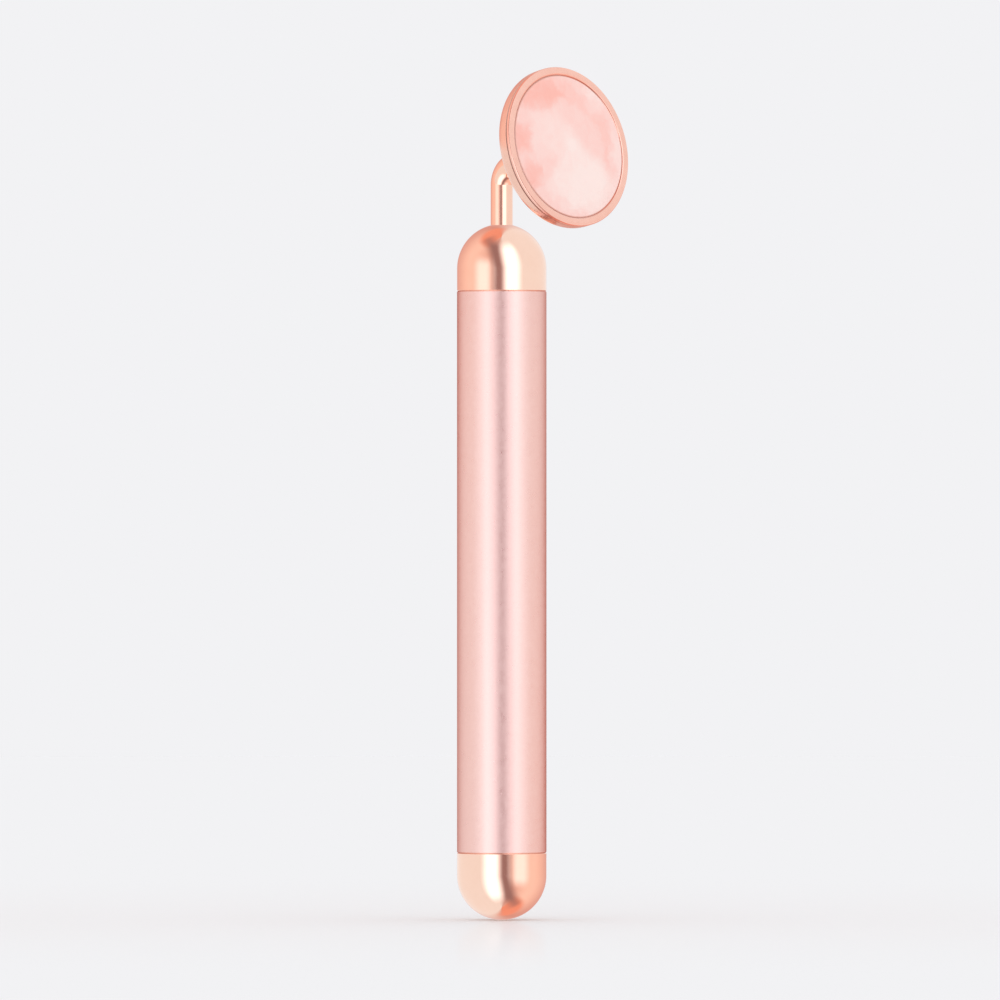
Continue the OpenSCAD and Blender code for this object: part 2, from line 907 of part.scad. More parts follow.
// Short leads from the motor's tabs down to the front of the board
module motor_leads() {
    drop = end_cap_low - terminal_h - (board_high - 2);
    turn_r = 1;
    run = board_front - turn_r;
    color("royalblue")
        for (side = [-1, 1]) {
            translate([side * terminal_x, 0, end_cap_low - terminal_h])
                rotate([180, 0, 0])
                    bent_rod([[drop - turn_r, turn_r, 90], [run, 0, 0]], 0.35, lead_lap);
        }
}

// ---------------------------------------------------------------------------------------------
// Rotor
// ---------------------------------------------------------------------------------------------

module motor_shaft() {
    color(STEEL)
        rod(shaft_r, end_cap_low + 0.6, weight_high);
}

// Three-pole laminated core
module armature() {
    core_low = can_low + core_foot_gap;
    core_high = can_high - core_head_gap;
    color("slategray")
        translate([0, 0, core_low])
            linear_extrude(core_high - core_low)
                difference() {
                    union() {
                        circle(r = shaft_r + hub_wall);
                        for (pole = [0:120:240]) {
                            rotate(pole) {
                                translate([0, -arm_w / 2])
                                    square([core_r - shoe_t / 2, arm_w]);
                                difference() {
                                    intersection() {
                                        circle(r = core_r);
                                        polygon([[0, 0], [core_r, -core_r], [2 * core_r, 0], [core_r, core_r]]);
                                    }
                                    circle(r = core_r - shoe_t);
                                }
                            }
                        }
                    }
                    circle(r = shaft_r + press_gap);
                }
}

// Copper wound on each pole, with rounded ends above and below the core
module windings() {
    low = can_low + core_foot_gap - coil_lip;
    high = can_high - core_head_gap + coil_lip;
    arm_fit = arm_w / 2 + press_gap;
    coil_half_w = arm_fit + coil_t;
    coil_start = shaft_r + hub_wall + 0.2;
    shoe_r = core_r - shoe_t;
    coil_len = sqrt(shoe_r * shoe_r - coil_half_w * coil_half_w) - slide_gap - coil_start;
    color(COPPER)
        for (pole = [0:120:240]) {
            rotate([0, 0, pole])
                translate([coil_start, 0, 0])
                    difference() {
                        translate([0, -coil_half_w, low])
                            cube([coil_len, 2 * coil_half_w, high - low]);
                        translate([-cut, -arm_fit, low + coil_lip - press_gap])
                            cube([coil_len + 2 * cut, 2 * arm_fit, high - low - 2 * (coil_lip - press_gap)]);
                    }
        }
}

module commutator() {
    color(BRASS)
        difference() {
            pipe(shaft_r + 0.8, shaft_r + press_gap, can_low + 0.9, can_low + 3);
            for (slot = [0:120:240]) {
                rotate([0, 0, slot + 60])
                    translate([shaft_r + 0.4, -0.1, can_low])
                        cube([cut, 0.2, 4]);
            }
        }
}

// Half-round weight pressed on the shaft
module eccentric_weight() {
    hub_r = shaft_r + 1.2;
    color(BRASS)
        difference() {
            union() {
                rotate([0, 0, 180])
                    translate([0, 0, weight_low])
                        rotate_extrude(angle = 180)
                            square([weight_r, weight_h]);
                rod(hub_r, weight_low, weight_high);
            }
            rod(shaft_r + press_gap, weight_low - cut, weight_high + cut);
        }
}

// ---------------------------------------------------------------------------------------------
// Cell and tail contact
// ---------------------------------------------------------------------------------------------

module cell_can() {
    crimp_r = 0.5;
    color("darkgoldenrod")
        rotate_extrude() {
            translate([0, cell_low + crimp_r])
                square([cell_r, cell_shoulder - shoulder_r - cell_low - crimp_r]);
            translate([0, cell_low])
                square([cell_r - crimp_r, cell_shoulder - cell_low]);
            translate([cell_r - crimp_r, cell_low + crimp_r])
                circle(r = crimp_r);
            translate([cell_r - shoulder_r, cell_shoulder - shoulder_r])
                circle(r = shoulder_r);
        }
}

module cell_button() {
    flange_r = button_r + 1.4;
    color(STEEL) {
        rod(flange_r, cell_shoulder, cell_shoulder + 0.3);
        rod(button_r, cell_shoulder, cell_high);
    }
}

module cell_washer() {
    color("white")
        pipe(cell_r - shoulder_r, button_r + 1.4 + slide_gap, cell_shoulder, cell_shoulder + 0.25);
}

module cell_sleeve() {
    color(PALE_PLASTIC)
        pipe(sleeve_r, sleeve_bore_r, cell_low - cell_gap / 2, contact_high);
}

module contact_plate() {
    color(STEEL)
        rod(plate_r, plate_low, plate_high);
}

// Tail spring: one round wire on a cone, swept as rings of points
function spring_turn(t) = 360 * spring_coils * t;
function spring_radius(t) = spring_foot_r + (spring_tip_r - spring_foot_r) * t - spring_wire / 2;
function spring_level(t) = spring_low + spring_wire / 2 + (spring_h - spring_wire) * t;
function spring_point(t) = [
    spring_radius(t) * cos(spring_turn(t)),
    spring_radius(t) * sin(spring_turn(t)),
    spring_level(t)
];
function spring_ring(t) = [
    for (side = [0:spring_sides - 1])
        let (
            around = 360 * side / spring_sides,
            out = spring_wire / 2 * cos(around),
            up = spring_wire / 2 * sin(around),
            radius = spring_radius(t) + out
        )
        [radius * cos(spring_turn(t)), radius * sin(spring_turn(t)), spring_level(t) + up]
];

module tail_spring() {
    rings = spring_coils * spring_rings;
    points = [for (ring = [0:rings]) each spring_ring(ring / rings)];
    walls = [
        for (ring = [0:rings - 1], side = [0:spring_sides - 1])
            let (
                next = (side + 1) % spring_sides,
                low = ring * spring_sides,
                high = low + spring_sides
            )
            each [[low + side, high + side, high + next], [low + side, high + next, low + next]]
    ];
    foot = [[for (side = [0:spring_sides - 1]) side]];
    tip = [[for (side = [spring_sides - 1:-1:0]) rings * spring_sides + side]];
    color(STEEL)
        polyhedron(points = points, faces = concat(foot, walls, tip), convexity = 8);
}

// Least gap between one coil of the spring and the next, measured on the wire's middle line
spring_gaps = [
    for (step = [0:40])
        let (t = step / 40 * (1 - 1 / spring_coils))
        norm(spring_point(t + 1 / spring_coils) - spring_point(t)) - spring_wire
];
echo(least_gap_between_spring_coils = min(spring_gaps));

// ---------------------------------------------------------------------------------------------
// Screw cap
// ---------------------------------------------------------------------------------------------

module bottom_dome() {
    color(ROSE_GOLD)
        translate([0, 0, tube_bottom])
            mirror([0, 0, 1])
                dome_shell();
}

// The lower collar is fixed in the cap and screws into the handle tube
module cap_collar() {
    groove_r = collar_tube_r - seal_d - press_gap;
    seal_z = tube_bottom + seal_offset;
    ledge_low = plate_low - 0.8;
    color(BRASS)
        difference() {
            union() {
                rod(collar_tube_r, tube_bottom, cap_collar_high);
                rod(collar_dome_r, tube_bottom - dome_skirt, tube_bottom + seam_bevel);
            }
            rod(collar_bore_r, plate_low, cap_collar_high + cut);
            rod(plate_ledge_r, ledge_low - cut, plate_low + cut);
            rod(collar_bore_r, tube_bottom - dome_skirt - cut, ledge_low);
            pipe(tube_r, groove_r, seal_z - seal_d * 0.6, seal_z + seal_d * 0.6);
            rod(clip_r + slide_gap, clip_low, clip_low + clip_t + slide_gap);
        }
}

module cap_seal() {
    ring_r = collar_tube_r - seal_d / 2;
    color(RUBBER)
        translate([0, 0, tube_bottom + seal_offset])
            rotate_extrude()
                translate([ring_r, 0])
                    circle(d = seal_d);
}

// Open ring in a groove of the collar. It keeps the contact plate on its ledge.
module plate_clip() {
    color(STEEL)
        difference() {
            pipe(clip_r, clip_bore_r, clip_low, clip_low + clip_t);
            sector(tube_r, clip_low - cut, clip_low + clip_t + cut, clip_mouth);
        }
}

// ---------------------------------------------------------------------------------------------
// The pieces, one at a time or together
// ---------------------------------------------------------------------------------------------

handle_tube();
top_dome();
top_collar();
neck_tube();
neck_washer();
neck_nut();
head_cup();
bezel_ring();
stone_disc();
heat_pad();
heater_film();
foam_disc();
heat_sensor();
lead_left();
lead_right();
module_frame();
control_board();
driver_chip();
boost_coil();
capacitors();
ground_clip();
positive_contact();
motor_can();
motor_magnets();
motor_bush();
motor_end_cap();
motor_terminals();
motor_boot();
motor_leads();
motor_shaft();
armature();
windings();
commutator();
eccentric_weight();
cell_can();
cell_button();
cell_washer();
cell_sleeve();
contact_plate();
tail_spring();
bottom_dome();
cap_collar();
cap_seal();
plate_clip();
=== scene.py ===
"""Looks of the heated eye massager wand, dressed over its CAD model.

The wand stands upright on its lower dome. The polished pieces mirror a soft studio: a tall white
softbox, a dark gap beside it, a strip light and warm walls round the rest. Levels and radii are
in millimetres and are turned into metres where a mesh is made. The names of sizes match the
part's source.
"""

import json
import math

import bpy
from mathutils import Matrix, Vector


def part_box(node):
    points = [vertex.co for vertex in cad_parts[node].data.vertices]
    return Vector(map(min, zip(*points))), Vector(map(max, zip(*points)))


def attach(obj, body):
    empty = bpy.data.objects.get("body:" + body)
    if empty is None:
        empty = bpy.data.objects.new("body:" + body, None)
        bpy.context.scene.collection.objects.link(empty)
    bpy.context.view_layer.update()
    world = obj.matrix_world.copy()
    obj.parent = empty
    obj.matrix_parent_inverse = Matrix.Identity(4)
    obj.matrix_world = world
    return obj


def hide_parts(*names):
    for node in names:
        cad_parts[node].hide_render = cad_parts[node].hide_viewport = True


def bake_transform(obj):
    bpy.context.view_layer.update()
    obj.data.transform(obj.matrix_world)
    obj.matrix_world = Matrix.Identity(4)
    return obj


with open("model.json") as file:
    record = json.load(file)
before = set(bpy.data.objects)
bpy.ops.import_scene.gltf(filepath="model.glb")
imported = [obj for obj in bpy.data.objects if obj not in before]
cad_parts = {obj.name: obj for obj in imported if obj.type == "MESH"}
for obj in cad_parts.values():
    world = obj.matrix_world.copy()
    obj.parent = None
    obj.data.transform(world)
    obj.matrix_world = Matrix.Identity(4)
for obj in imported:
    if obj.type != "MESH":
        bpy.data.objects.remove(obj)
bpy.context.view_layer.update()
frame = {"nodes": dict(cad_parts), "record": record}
nodes = frame["nodes"]
bpy.ops.object.select_all(action="DESELECT")

MM = 0.001

# Handle and domes
TUBE_R = 8.5
BORE_R = 7.6
TUBE_TOP = 53.3
SEAM_BEVEL = 0.15
DOME_SKIRT = 4.3
SKIRT_BORE_R = 7.5
CROWN_BORE_R = 6.9
DOME_POLE = 66.1

# Collar of the screw cap
COLLAR_R = 7.55
COLLAR_DOME_R = 7.48
COLLAR_BORE_R = 6.3
COLLAR_HIGH = -47.3
PLATE_LOW = -55.3
PLATE_HIGH = -54.8
PLATE_LEDGE_R = 5.4
LEDGE_LOW = -56.1
CLIP_LOW = -54.75
CLIP_HIGH = -54.3
CLIP_GROOVE_R = 6.55
SEAL_Z = -51.7
SEAL_GROOVE_R = 6.73
SEAL_GROOVE_HALF = 0.48
THREAD_PITCH = 1.0
THREAD_TURNS = 3
THREAD_ROOT_R = 7.0
THREAD_LOW = -50.75
THREAD_RELIEF = 0.35
COLLAR_BEVEL = 0.15

# Tail spring
CELL_LOW = -46.5
SPRING_WIRE = 0.7
SPRING_COILS = 5
SPRING_FOOT_R = 5.2
SPRING_TIP_R = 3.2

# Neck
NECK_R = 2.1
NECK_BORE_R = 1.6
NECK_PLAY = 0.02
NECK_FOOT = 57.5
NECK_BEND_R = 4.0
CORNER_Z = 76.7
NECK_REACH = 18.5
HEAD_TILT = 11.5
BOSS_LOW = 60.5
BOSS_R = 3.6

# Head, measured from its front plane
HEAD_R = 15.4
HEAD_DEPTH = 4.1
CUP_BACK_R = 2.2
CUP_INNER_R = 14.55
CUP_FLOOR = 0.9
SOCKET_R = 2.9
SOCKET_LEN = 1.4
SOCKET_FILLET = 0.5
SOCKET_LEDGE = 0.3
BEZEL_H = 0.8
BEZEL_LIP = 0.4
BEZEL_ROUND = 0.35
BEZEL_GROOVE = 0.15
STONE_R = 13.75
STONE_GIRDLE_R = 14.0
STONE_CROWN = 0.5
STONE_DEPTH = 2.0
STONE_EDGE_R = 0.3
STONE_GAP = 0.05
TRACK_TOP = -2.402
HEAD_Z = CORNER_Z + NECK_REACH * math.tan(math.radians(HEAD_TILT))

# Small electrical pieces
CHIP_BODY_HALF = 1.93
CAPACITOR_LEN = 2.0
CAPACITOR_END = 0.35
CAPACITOR_ROWS = (0.0, 2.8)
BOARD_TRACE = 0.11
JACKET_RING_LOW = 6.5
JACKET_RING_HIGH = 2.6

BACKGROUND = (0.888, 0.888, 0.905, 1.0)


# ---------------------------------------------------------------------------------------------
# Node helpers
# ---------------------------------------------------------------------------------------------

def add_node(tree, kind, **settings):
    node = tree.nodes.new(kind)
    for name, value in settings.items():
        setattr(node, name, value)
    return node


def feed(tree, socket, value):
    """Links a socket to another, or sets it to a plain value."""
    if isinstance(value, bpy.types.NodeSocket):
        tree.links.new(value, socket)
    else:
        socket.default_value = value


def math_node(tree, operation, first, second=None, clamp=False):
    node = add_node(tree, "ShaderNodeMath", operation=operation, use_clamp=clamp)
    feed(tree, node.inputs[0], first)
    if second is not None:
        feed(tree, node.inputs[1], second)
    return node.outputs[0]


def vector_node(tree, operation, first, second=None, output=0):
    node = add_node(tree, "ShaderNodeVectorMath", operation=operation)
    feed(tree, node.inputs[0], first)
    if second is not None:
        feed(tree, node.inputs[1], second)
    return node.outputs[output]


def ramp_up(tree, value, low, high):
    """0 below low, 1 above high and smooth between them."""
    node = add_node(tree, "ShaderNodeMapRange", interpolation_type="SMOOTHSTEP")
    feed(tree, node.inputs[0], value)
    node.inputs[1].default_value = low
    node.inputs[2].default_value = high
    return node.outputs[0]


def ramp_down(tree, value, low, high):
    return math_node(tree, "SUBTRACT", 1, ramp_up(tree, value, low, high))


def band(tree, value, low, high, soft):
    """1 between low and high, with soft sides."""
    rise = ramp_up(tree, value, low - soft, low + soft)
    fall = ramp_up(tree, value, high - soft, high + soft)
    return math_node(tree, "SUBTRACT", rise, fall, clamp=True)


def spread(tree, value, low, high, from_low=0.3, from_high=0.7):
    node = add_node(tree, "ShaderNodeMapRange")
    for socket, number in zip(node.inputs, (value, from_low, from_high, low, high)):
        feed(tree, socket, number)
    return node.outputs[0]


def mix_colours(tree, mask, below, above):
    node = add_node(tree, "ShaderNodeMix", data_type="RGBA")
    feed(tree, node.inputs[0], mask)
    feed(tree, node.inputs[6], below)
    feed(tree, node.inputs[7], above)
    return node.outputs[2]


def noise_of(tree, place, per_metre, detail=3.0, roughness=0.5, output="Fac"):
    node = add_node(tree, "ShaderNodeTexNoise")
    feed(tree, node.inputs["Vector"], place)
    feed(tree, node.inputs["Scale"], per_metre)
    node.inputs["Detail"].default_value = detail
    node.inputs["Roughness"].default_value = roughness
    return node.outputs[output]


def split(tree, place):
    axes = add_node(tree, "ShaderNodeSeparateXYZ")
    feed(tree, axes.inputs[0], place)
    return axes.outputs


# ---------------------------------------------------------------------------------------------
# Camera, studio and floor
# ---------------------------------------------------------------------------------------------

CAMERA_TURN = math.radians(-43.5)
CAMERA_DISTANCE = 2.5
CAMERA_HEIGHT = 13.65 * MM
CAMERA_SIDE = -0.33 * MM
VIEW_WIDTH = 189.9 * MM
FLOOR_RADIUS = 1.6
SHEEN_REACH = 0.3
SHEEN_SHARE = 0.2


def place_camera():
    toward = Vector((math.sin(CAMERA_TURN), -math.cos(CAMERA_TURN), 0))
    right = Vector((math.cos(CAMERA_TURN), math.sin(CAMERA_TURN), 0))
    data = bpy.data.cameras.new("studio_camera")
    data.sensor_width = 36
    data.lens = 36 * CAMERA_DISTANCE / VIEW_WIDTH
    data.clip_start = 0.05
    data.clip_end = 20
    camera = bpy.data.objects.new("studio_camera", data)
    bpy.context.scene.collection.objects.link(camera)
    camera.location = toward * CAMERA_DISTANCE + right * CAMERA_SIDE + Vector((0, 0, CAMERA_HEIGHT))
    camera.rotation_euler = (math.radians(90), 0, CAMERA_TURN)
    bpy.context.scene.camera = camera


def build_studio():
    """The camera sees plain paper. Diffuse surfaces get even light. Polished ones mirror the
    studio, whose cards are placed by turn and height in degrees, seen from the wand."""
    world = bpy.data.worlds.new("studio")
    bpy.context.scene.world = world
    world.use_nodes = True
    tree = world.node_tree
    tree.nodes.clear()
    place = add_node(tree, "ShaderNodeTexCoord")
    spin = add_node(tree, "ShaderNodeVectorRotate", rotation_type="Z_AXIS")
    spin.inputs["Angle"].default_value = math.radians(180) - CAMERA_TURN
    tree.links.new(place.outputs["Generated"], spin.inputs["Vector"])
    axes = split(tree, spin.outputs[0])
    # The lower half of the studio is the upper half turned round the line of sight
    upper = math_node(tree, "SIGN", axes[2])
    across = math_node(tree, "MULTIPLY", math_node(tree, "MULTIPLY", axes[0], -1), upper)
    toward = axes[1]
    up = math_node(tree, "ABSOLUTE", axes[2])
    degree = 180 / math.pi
    turn = math_node(tree, "MULTIPLY", math_node(tree, "ARCTAN2", across, toward), degree)
    height = math_node(tree, "MULTIPLY", math_node(tree, "ARCSINE", up), degree)
    # The same turn, counted so that the cards on the left and right pass behind without a seam
    past_right = math_node(tree, "GREATER_THAN", turn, 90)
    past_left = math_node(tree, "LESS_THAN", turn, -90)
    left_turn = math_node(tree, "SUBTRACT", turn, math_node(tree, "MULTIPLY", past_right, 360))
    right_turn = math_node(tree, "ADD", turn, math_node(tree, "MULTIPLY", past_left, 360))
    lean = math_node(tree, "ADD", across, math_node(tree, "MULTIPLY", up, 0.192))

    look = (0.704, 0.351, 0.302, 1)
    cards = (
        # left wall
        ((band(tree, left_turn, -136, -41.4, 60.9),), (1.12, 0.862, 0.782, 1)),
        # right wall
        ((band(tree, right_turn, -8.4, 174, 18.2),), (0.991, 1.01, 1.02, 1)),
        # strip light
        ((band(tree, turn, -69.7, -29.6, 14), ramp_down(tree, height, 4, 34)), (1.34, 1.29, 1.3, 1)),
        # copper cloth
        ((band(tree, left_turn, -184, -39.7, 16.3), ramp_up(tree, height, 43.8, 59.6)), (0.98, 0.42, 0.3, 1)),
        # softbox
        ((band(tree, turn, -16.8, 46.4, 12.6), ramp_down(tree, height, 44.1, 77.6)), (1.84, 1.88, 1.98, 1)),
        # dark gap
        ((
            band(tree, lean, -0.362, 0.122, 0.2),
            ramp_up(tree, toward, -0.25, 0.05),
            ramp_down(tree, height, 53.9, 90),
        ), (0.37, 0.232, 0.23, 1)),
        # paper behind
        ((ramp_up(tree, math_node(tree, "MULTIPLY", toward, -1), 0.949, 1.02),), BACKGROUND),
    )
    for masks, colour in cards:
        mask = masks[0]
        for part in masks[1:]:
            mask = math_node(tree, "MULTIPLY", mask, part)
        look = mix_colours(tree, mask, look, colour)

    rays = add_node(tree, "ShaderNodeLightPath")
    room = mix_colours(tree, rays.outputs["Is Glossy Ray"], (1.04, 1.04, 1.04, 1), look)
    room = mix_colours(tree, rays.outputs["Is Camera Ray"], room, BACKGROUND)
    light = add_node(tree, "ShaderNodeBackground")
    tree.links.new(room, light.inputs["Color"])
    output = add_node(tree, "ShaderNodeOutputWorld")
    tree.links.new(light.outputs[0], output.inputs["Surface"])


def lay_floor():
    """A round of white paper under the wand, with a faint sheen that mirrors it near its foot."""
    bpy.ops.mesh.primitive_circle_add(
        vertices=96, radius=FLOOR_RADIUS, fill_type="NGON", location=(0, 0, -DOME_POLE * MM),
    )
    floor = bpy.context.active_object
    floor.name = "studio_floor"
    material = bpy.data.materials.new("pale_floor")
    material.use_nodes = True
    tree = material.node_tree
    tree.nodes.clear()
    paper = add_node(tree, "ShaderNodeBsdfDiffuse")
    paper.inputs["Color"].default_value = (0.854, 0.854, 0.87, 1)
    sheen = add_node(tree, "ShaderNodeBsdfGlossy")
    sheen.inputs["Color"].default_value = (1, 1, 1, 1)
    sheen.inputs["Roughness"].default_value = 0.12
    place = add_node(tree, "ShaderNodeTexCoord")
    reach = vector_node(tree, "LENGTH", place.outputs["Object"], output=1)
    share = math_node(tree, "MULTIPLY", ramp_down(tree, reach, 0.0, SHEEN_REACH), SHEEN_SHARE)
    blend = add_node(tree, "ShaderNodeMixShader")
    tree.links.new(share, blend.inputs[0])
    tree.links.new(paper.outputs[0], blend.inputs[1])
    tree.links.new(sheen.outputs[0], blend.inputs[2])
    output = add_node(tree, "ShaderNodeOutputMaterial")
    tree.links.new(blend.outputs[0], output.inputs["Surface"])
    floor.data.materials.append(material)
    floor.visible_glossy = False


place_camera()
build_studio()
lay_floor()

bpy.context.scene.view_settings.view_transform = "Standard"


# ---------------------------------------------------------------------------------------------
# Shapes
# ---------------------------------------------------------------------------------------------

def pick(piece):
    """Makes a piece the only selected one."""
    bpy.ops.object.select_all(action="DESELECT")
    piece.select_set(True)
    bpy.context.view_layer.objects.active = piece


def begin_at(name, point):
    """Starts a mesh of one vertex at point and leaves it in edit mode."""
    bpy.ops.object.select_all(action="DESELECT")
    bpy.ops.mesh.primitive_plane_add(size=1 * MM)
    piece = bpy.context.active_object
    piece.name = name
    bpy.ops.object.mode_set(mode="EDIT")
    bpy.ops.mesh.select_all(action="SELECT")
    bpy.ops.mesh.merge(type="CENTER")
    bpy.ops.mesh.select_all(action="SELECT")
    bpy.ops.transform.translate(value=[c * MM for c in point])
    return piece


def draw_line(name, points, closed):
    """A line of edges through points, left in edit mode with all of it selected."""
    piece = begin_at(name, points[0])
    for last, this in zip(points, points[1:]):
        step = [(b - a) * MM for a, b in zip(last, this)]
        bpy.ops.mesh.extrude_vertices_move(TRANSFORM_OT_translate={"value": step})
    if closed:
        bpy.ops.mesh.select_all(action="SELECT")
        bpy.ops.mesh.edge_face_add()
        bpy.ops.mesh.delete(type="ONLY_FACE")
    bpy.ops.mesh.select_all(action="SELECT")
    return piece


def clean_shell():
    """In edit mode: merges doubles and turns every face outwards."""
    bpy.ops.mesh.select_all(action="SELECT")
    bpy.ops.mesh.remove_doubles(threshold=0.002 * MM)
    bpy.ops.mesh.normals_make_consistent(inside=False)


def turned(name, outline, steps=192, closed=True):
    """A turned piece: the outline of (radius, level) points goes round the Z axis."""
    piece = draw_line(name, [(radius, 0, level) for radius, level in outline], closed)
    bpy.ops.mesh.spin(steps=steps, angle=2 * math.pi, center=(0, 0, 0), axis=(0, 0, 1))
    clean_shell()
    bpy.ops.object.mode_set(mode="OBJECT")
    return piece


def arc(centre, radius, start, end, count):
    """Points on an arc, from angle start to angle end in degrees."""
    found = []
    for i in range(count + 1):
        a = math.radians(start + (end - start) * i / count)
        found.append((centre[0] + radius * math.cos(a), centre[1] + radius * math.sin(a)))
    return found


def flip_down(outline):
    return [(r, -z) for r, z in outline]


def finish_edges(piece, angle=28):
    pick(piece)
    bpy.ops.object.shade_smooth_by_angle(angle=math.radians(angle))


def dome_outline(neck_hole):
    """Wall of a dome from its inner rim, over the pole, to its outer rim."""
    seat = TUBE_TOP + DOME_SKIRT
    centre = (0, seat)
    if neck_hole:
        inner_stop = math.degrees(math.acos(BOSS_R / CROWN_BORE_R))
        outer_stop = math.degrees(math.acos((NECK_R + NECK_PLAY) / TUBE_R))
    else:
        inner_stop = outer_stop = 90
    outline = [(SKIRT_BORE_R, TUBE_TOP), (SKIRT_BORE_R, seat), (CROWN_BORE_R, seat)]
    outline += arc(centre, CROWN_BORE_R, 0, inner_stop, 24)[1:]
    if neck_hole:
        outline += [(BOSS_R, BOSS_LOW), (NECK_R + NECK_PLAY, BOSS_LOW)]
    outline += arc(centre, TUBE_R, outer_stop, 0, 72)
    outline += [(TUBE_R, TUBE_TOP + SEAM_BEVEL), (TUBE_R - SEAM_BEVEL, TUBE_TOP)]
    return outline


def make_tube():
    b = SEAM_BEVEL
    outline = [
        (BORE_R, -TUBE_TOP), (TUBE_R - b, -TUBE_TOP), (TUBE_R, -TUBE_TOP + b),
        (TUBE_R, TUBE_TOP - b), (TUBE_R - b, TUBE_TOP), (BORE_R, TUBE_TOP),
    ]
    piece = turned("handle_sleeve", outline)
    finish_edges(piece)
    return piece


def make_dome(name, neck_hole, down):
    outline = dome_outline(neck_hole)
    piece = turned(name, flip_down(outline) if down else outline, closed=neck_hole)
    if not neck_hole:
        pick(piece)
        bpy.ops.object.mode_set(mode="EDIT")
        bpy.ops.mesh.select_all(action="DESELECT")
        bpy.ops.mesh.select_non_manifold()
        bpy.ops.mesh.bridge_edge_loops()
        bpy.ops.mesh.select_all(action="SELECT")
        bpy.ops.mesh.normals_make_consistent(inside=False)
        bpy.ops.object.mode_set(mode="OBJECT")
    finish_edges(piece)
    return piece


def make_neck():
    """Hollow neck: one round tube bent in a single bend, then let into the head's socket."""
    turn = math.radians(90 - HEAD_TILT)
    setback = NECK_BEND_R * math.tan(turn / 2)
    rise = CORNER_Z - setback - NECK_FOOT
    run = NECK_REACH / math.cos(math.radians(HEAD_TILT)) - setback - (HEAD_DEPTH - CUP_FLOOR + SOCKET_LEDGE)
    bpy.ops.object.select_all(action="DESELECT")
    bpy.ops.mesh.primitive_circle_add(vertices=96, radius=NECK_R * MM, location=(0, 0, NECK_FOOT * MM))
    piece = bpy.context.active_object
    piece.name = "bent_neck"
    bpy.ops.object.transform_apply(location=True, rotation=True, scale=True)
    bpy.ops.object.mode_set(mode="EDIT")
    bpy.ops.mesh.select_all(action="SELECT")
    bpy.ops.mesh.extrude_region_move(TRANSFORM_OT_translate={"value": (0, 0, rise * MM)})
    bend_centre = (0, -NECK_BEND_R * MM, (NECK_FOOT + rise) * MM)
    bpy.ops.mesh.spin(steps=40, angle=turn, center=bend_centre, axis=(-1, 0, 0))
    along = (0, -run * math.sin(turn) * MM, run * math.cos(turn) * MM)
    bpy.ops.mesh.extrude_region_move(TRANSFORM_OT_translate={"value": along})
    clean_shell()
    bpy.ops.object.mode_set(mode="OBJECT")
    wall = piece.modifiers.new("wall", "SOLIDIFY")
    wall.thickness = (NECK_R - NECK_BORE_R) * MM
    wall.offset = -1
    bpy.ops.object.modifier_apply(modifier="wall")
    finish_edges(piece, 40)
    return piece


def move_to_head(piece):
    """Turns a piece from the head's own frame into its place on the neck."""
    pick(piece)
    piece.rotation_euler = (math.radians(90 - HEAD_TILT), 0, 0)
    piece.location = (0, -NECK_REACH * MM, HEAD_Z * MM)
    bpy.ops.object.transform_apply(location=True, rotation=True, scale=True)
    return piece


def make_cup():
    back = -HEAD_DEPTH
    rim = -BEZEL_H
    inner_edge = CUP_BACK_R - CUP_FLOOR + 0.2
    floor_z = back + CUP_FLOOR
    outline = [(NECK_BORE_R, floor_z)]
    outline += arc((CUP_INNER_R - inner_edge, floor_z + inner_edge), inner_edge, -90, 0, 8)
    outline += [(CUP_INNER_R, rim), (HEAD_R - BEZEL_GROOVE, rim), (HEAD_R, rim - BEZEL_GROOVE)]
    outline += arc((HEAD_R - CUP_BACK_R, back + CUP_BACK_R), CUP_BACK_R, 0, -90, 20)
    outline += [(SOCKET_R + SOCKET_FILLET, back)]
    outline += arc((SOCKET_R + SOCKET_FILLET, back - SOCKET_FILLET), SOCKET_FILLET, 90, 180, 6)[1:]
    outline += [(SOCKET_R, back - SOCKET_LEN), (NECK_R + NECK_PLAY, back - SOCKET_LEN)]
    outline += [(NECK_R + NECK_PLAY, floor_z - SOCKET_LEDGE), (NECK_BORE_R, floor_z - SOCKET_LEDGE)]
    piece = turned("polished_cup", outline, steps=224)
    move_to_head(piece)
    finish_edges(piece)
    return piece


def ring_face(inner_lip, outer_start):
    """Section of the ring's face: a steep burnished edge beside the stone, then a low crown."""
    points = [(inner_lip, -0.36), (inner_lip + 0.05, -0.22), (inner_lip + 0.14, -0.12)]
    crown_start = inner_lip + 0.26
    for i in range(15):
        t = i / 14
        points.append((crown_start + (outer_start - crown_start) * t, -0.06 + 0.06 * (1 - (2 * t - 1) ** 2)))
    return points


def make_bezel():
    inner_low = STONE_GIRDLE_R + STONE_GAP
    inner_lip = STONE_R + STONE_GAP
    outline = [(inner_low, -BEZEL_H), (inner_low, -BEZEL_LIP), (inner_lip, -BEZEL_LIP)]
    outline += ring_face(inner_lip, HEAD_R - BEZEL_ROUND)
    outline += arc((HEAD_R - BEZEL_ROUND, -BEZEL_ROUND), BEZEL_ROUND, 55, 0, 10)
    outline += [(HEAD_R, BEZEL_GROOVE - BEZEL_H), (HEAD_R - BEZEL_GROOVE, -BEZEL_H)]
    piece = turned("polished_bezel", outline, steps=224)
    move_to_head(piece)
    finish_edges(piece)
    return piece


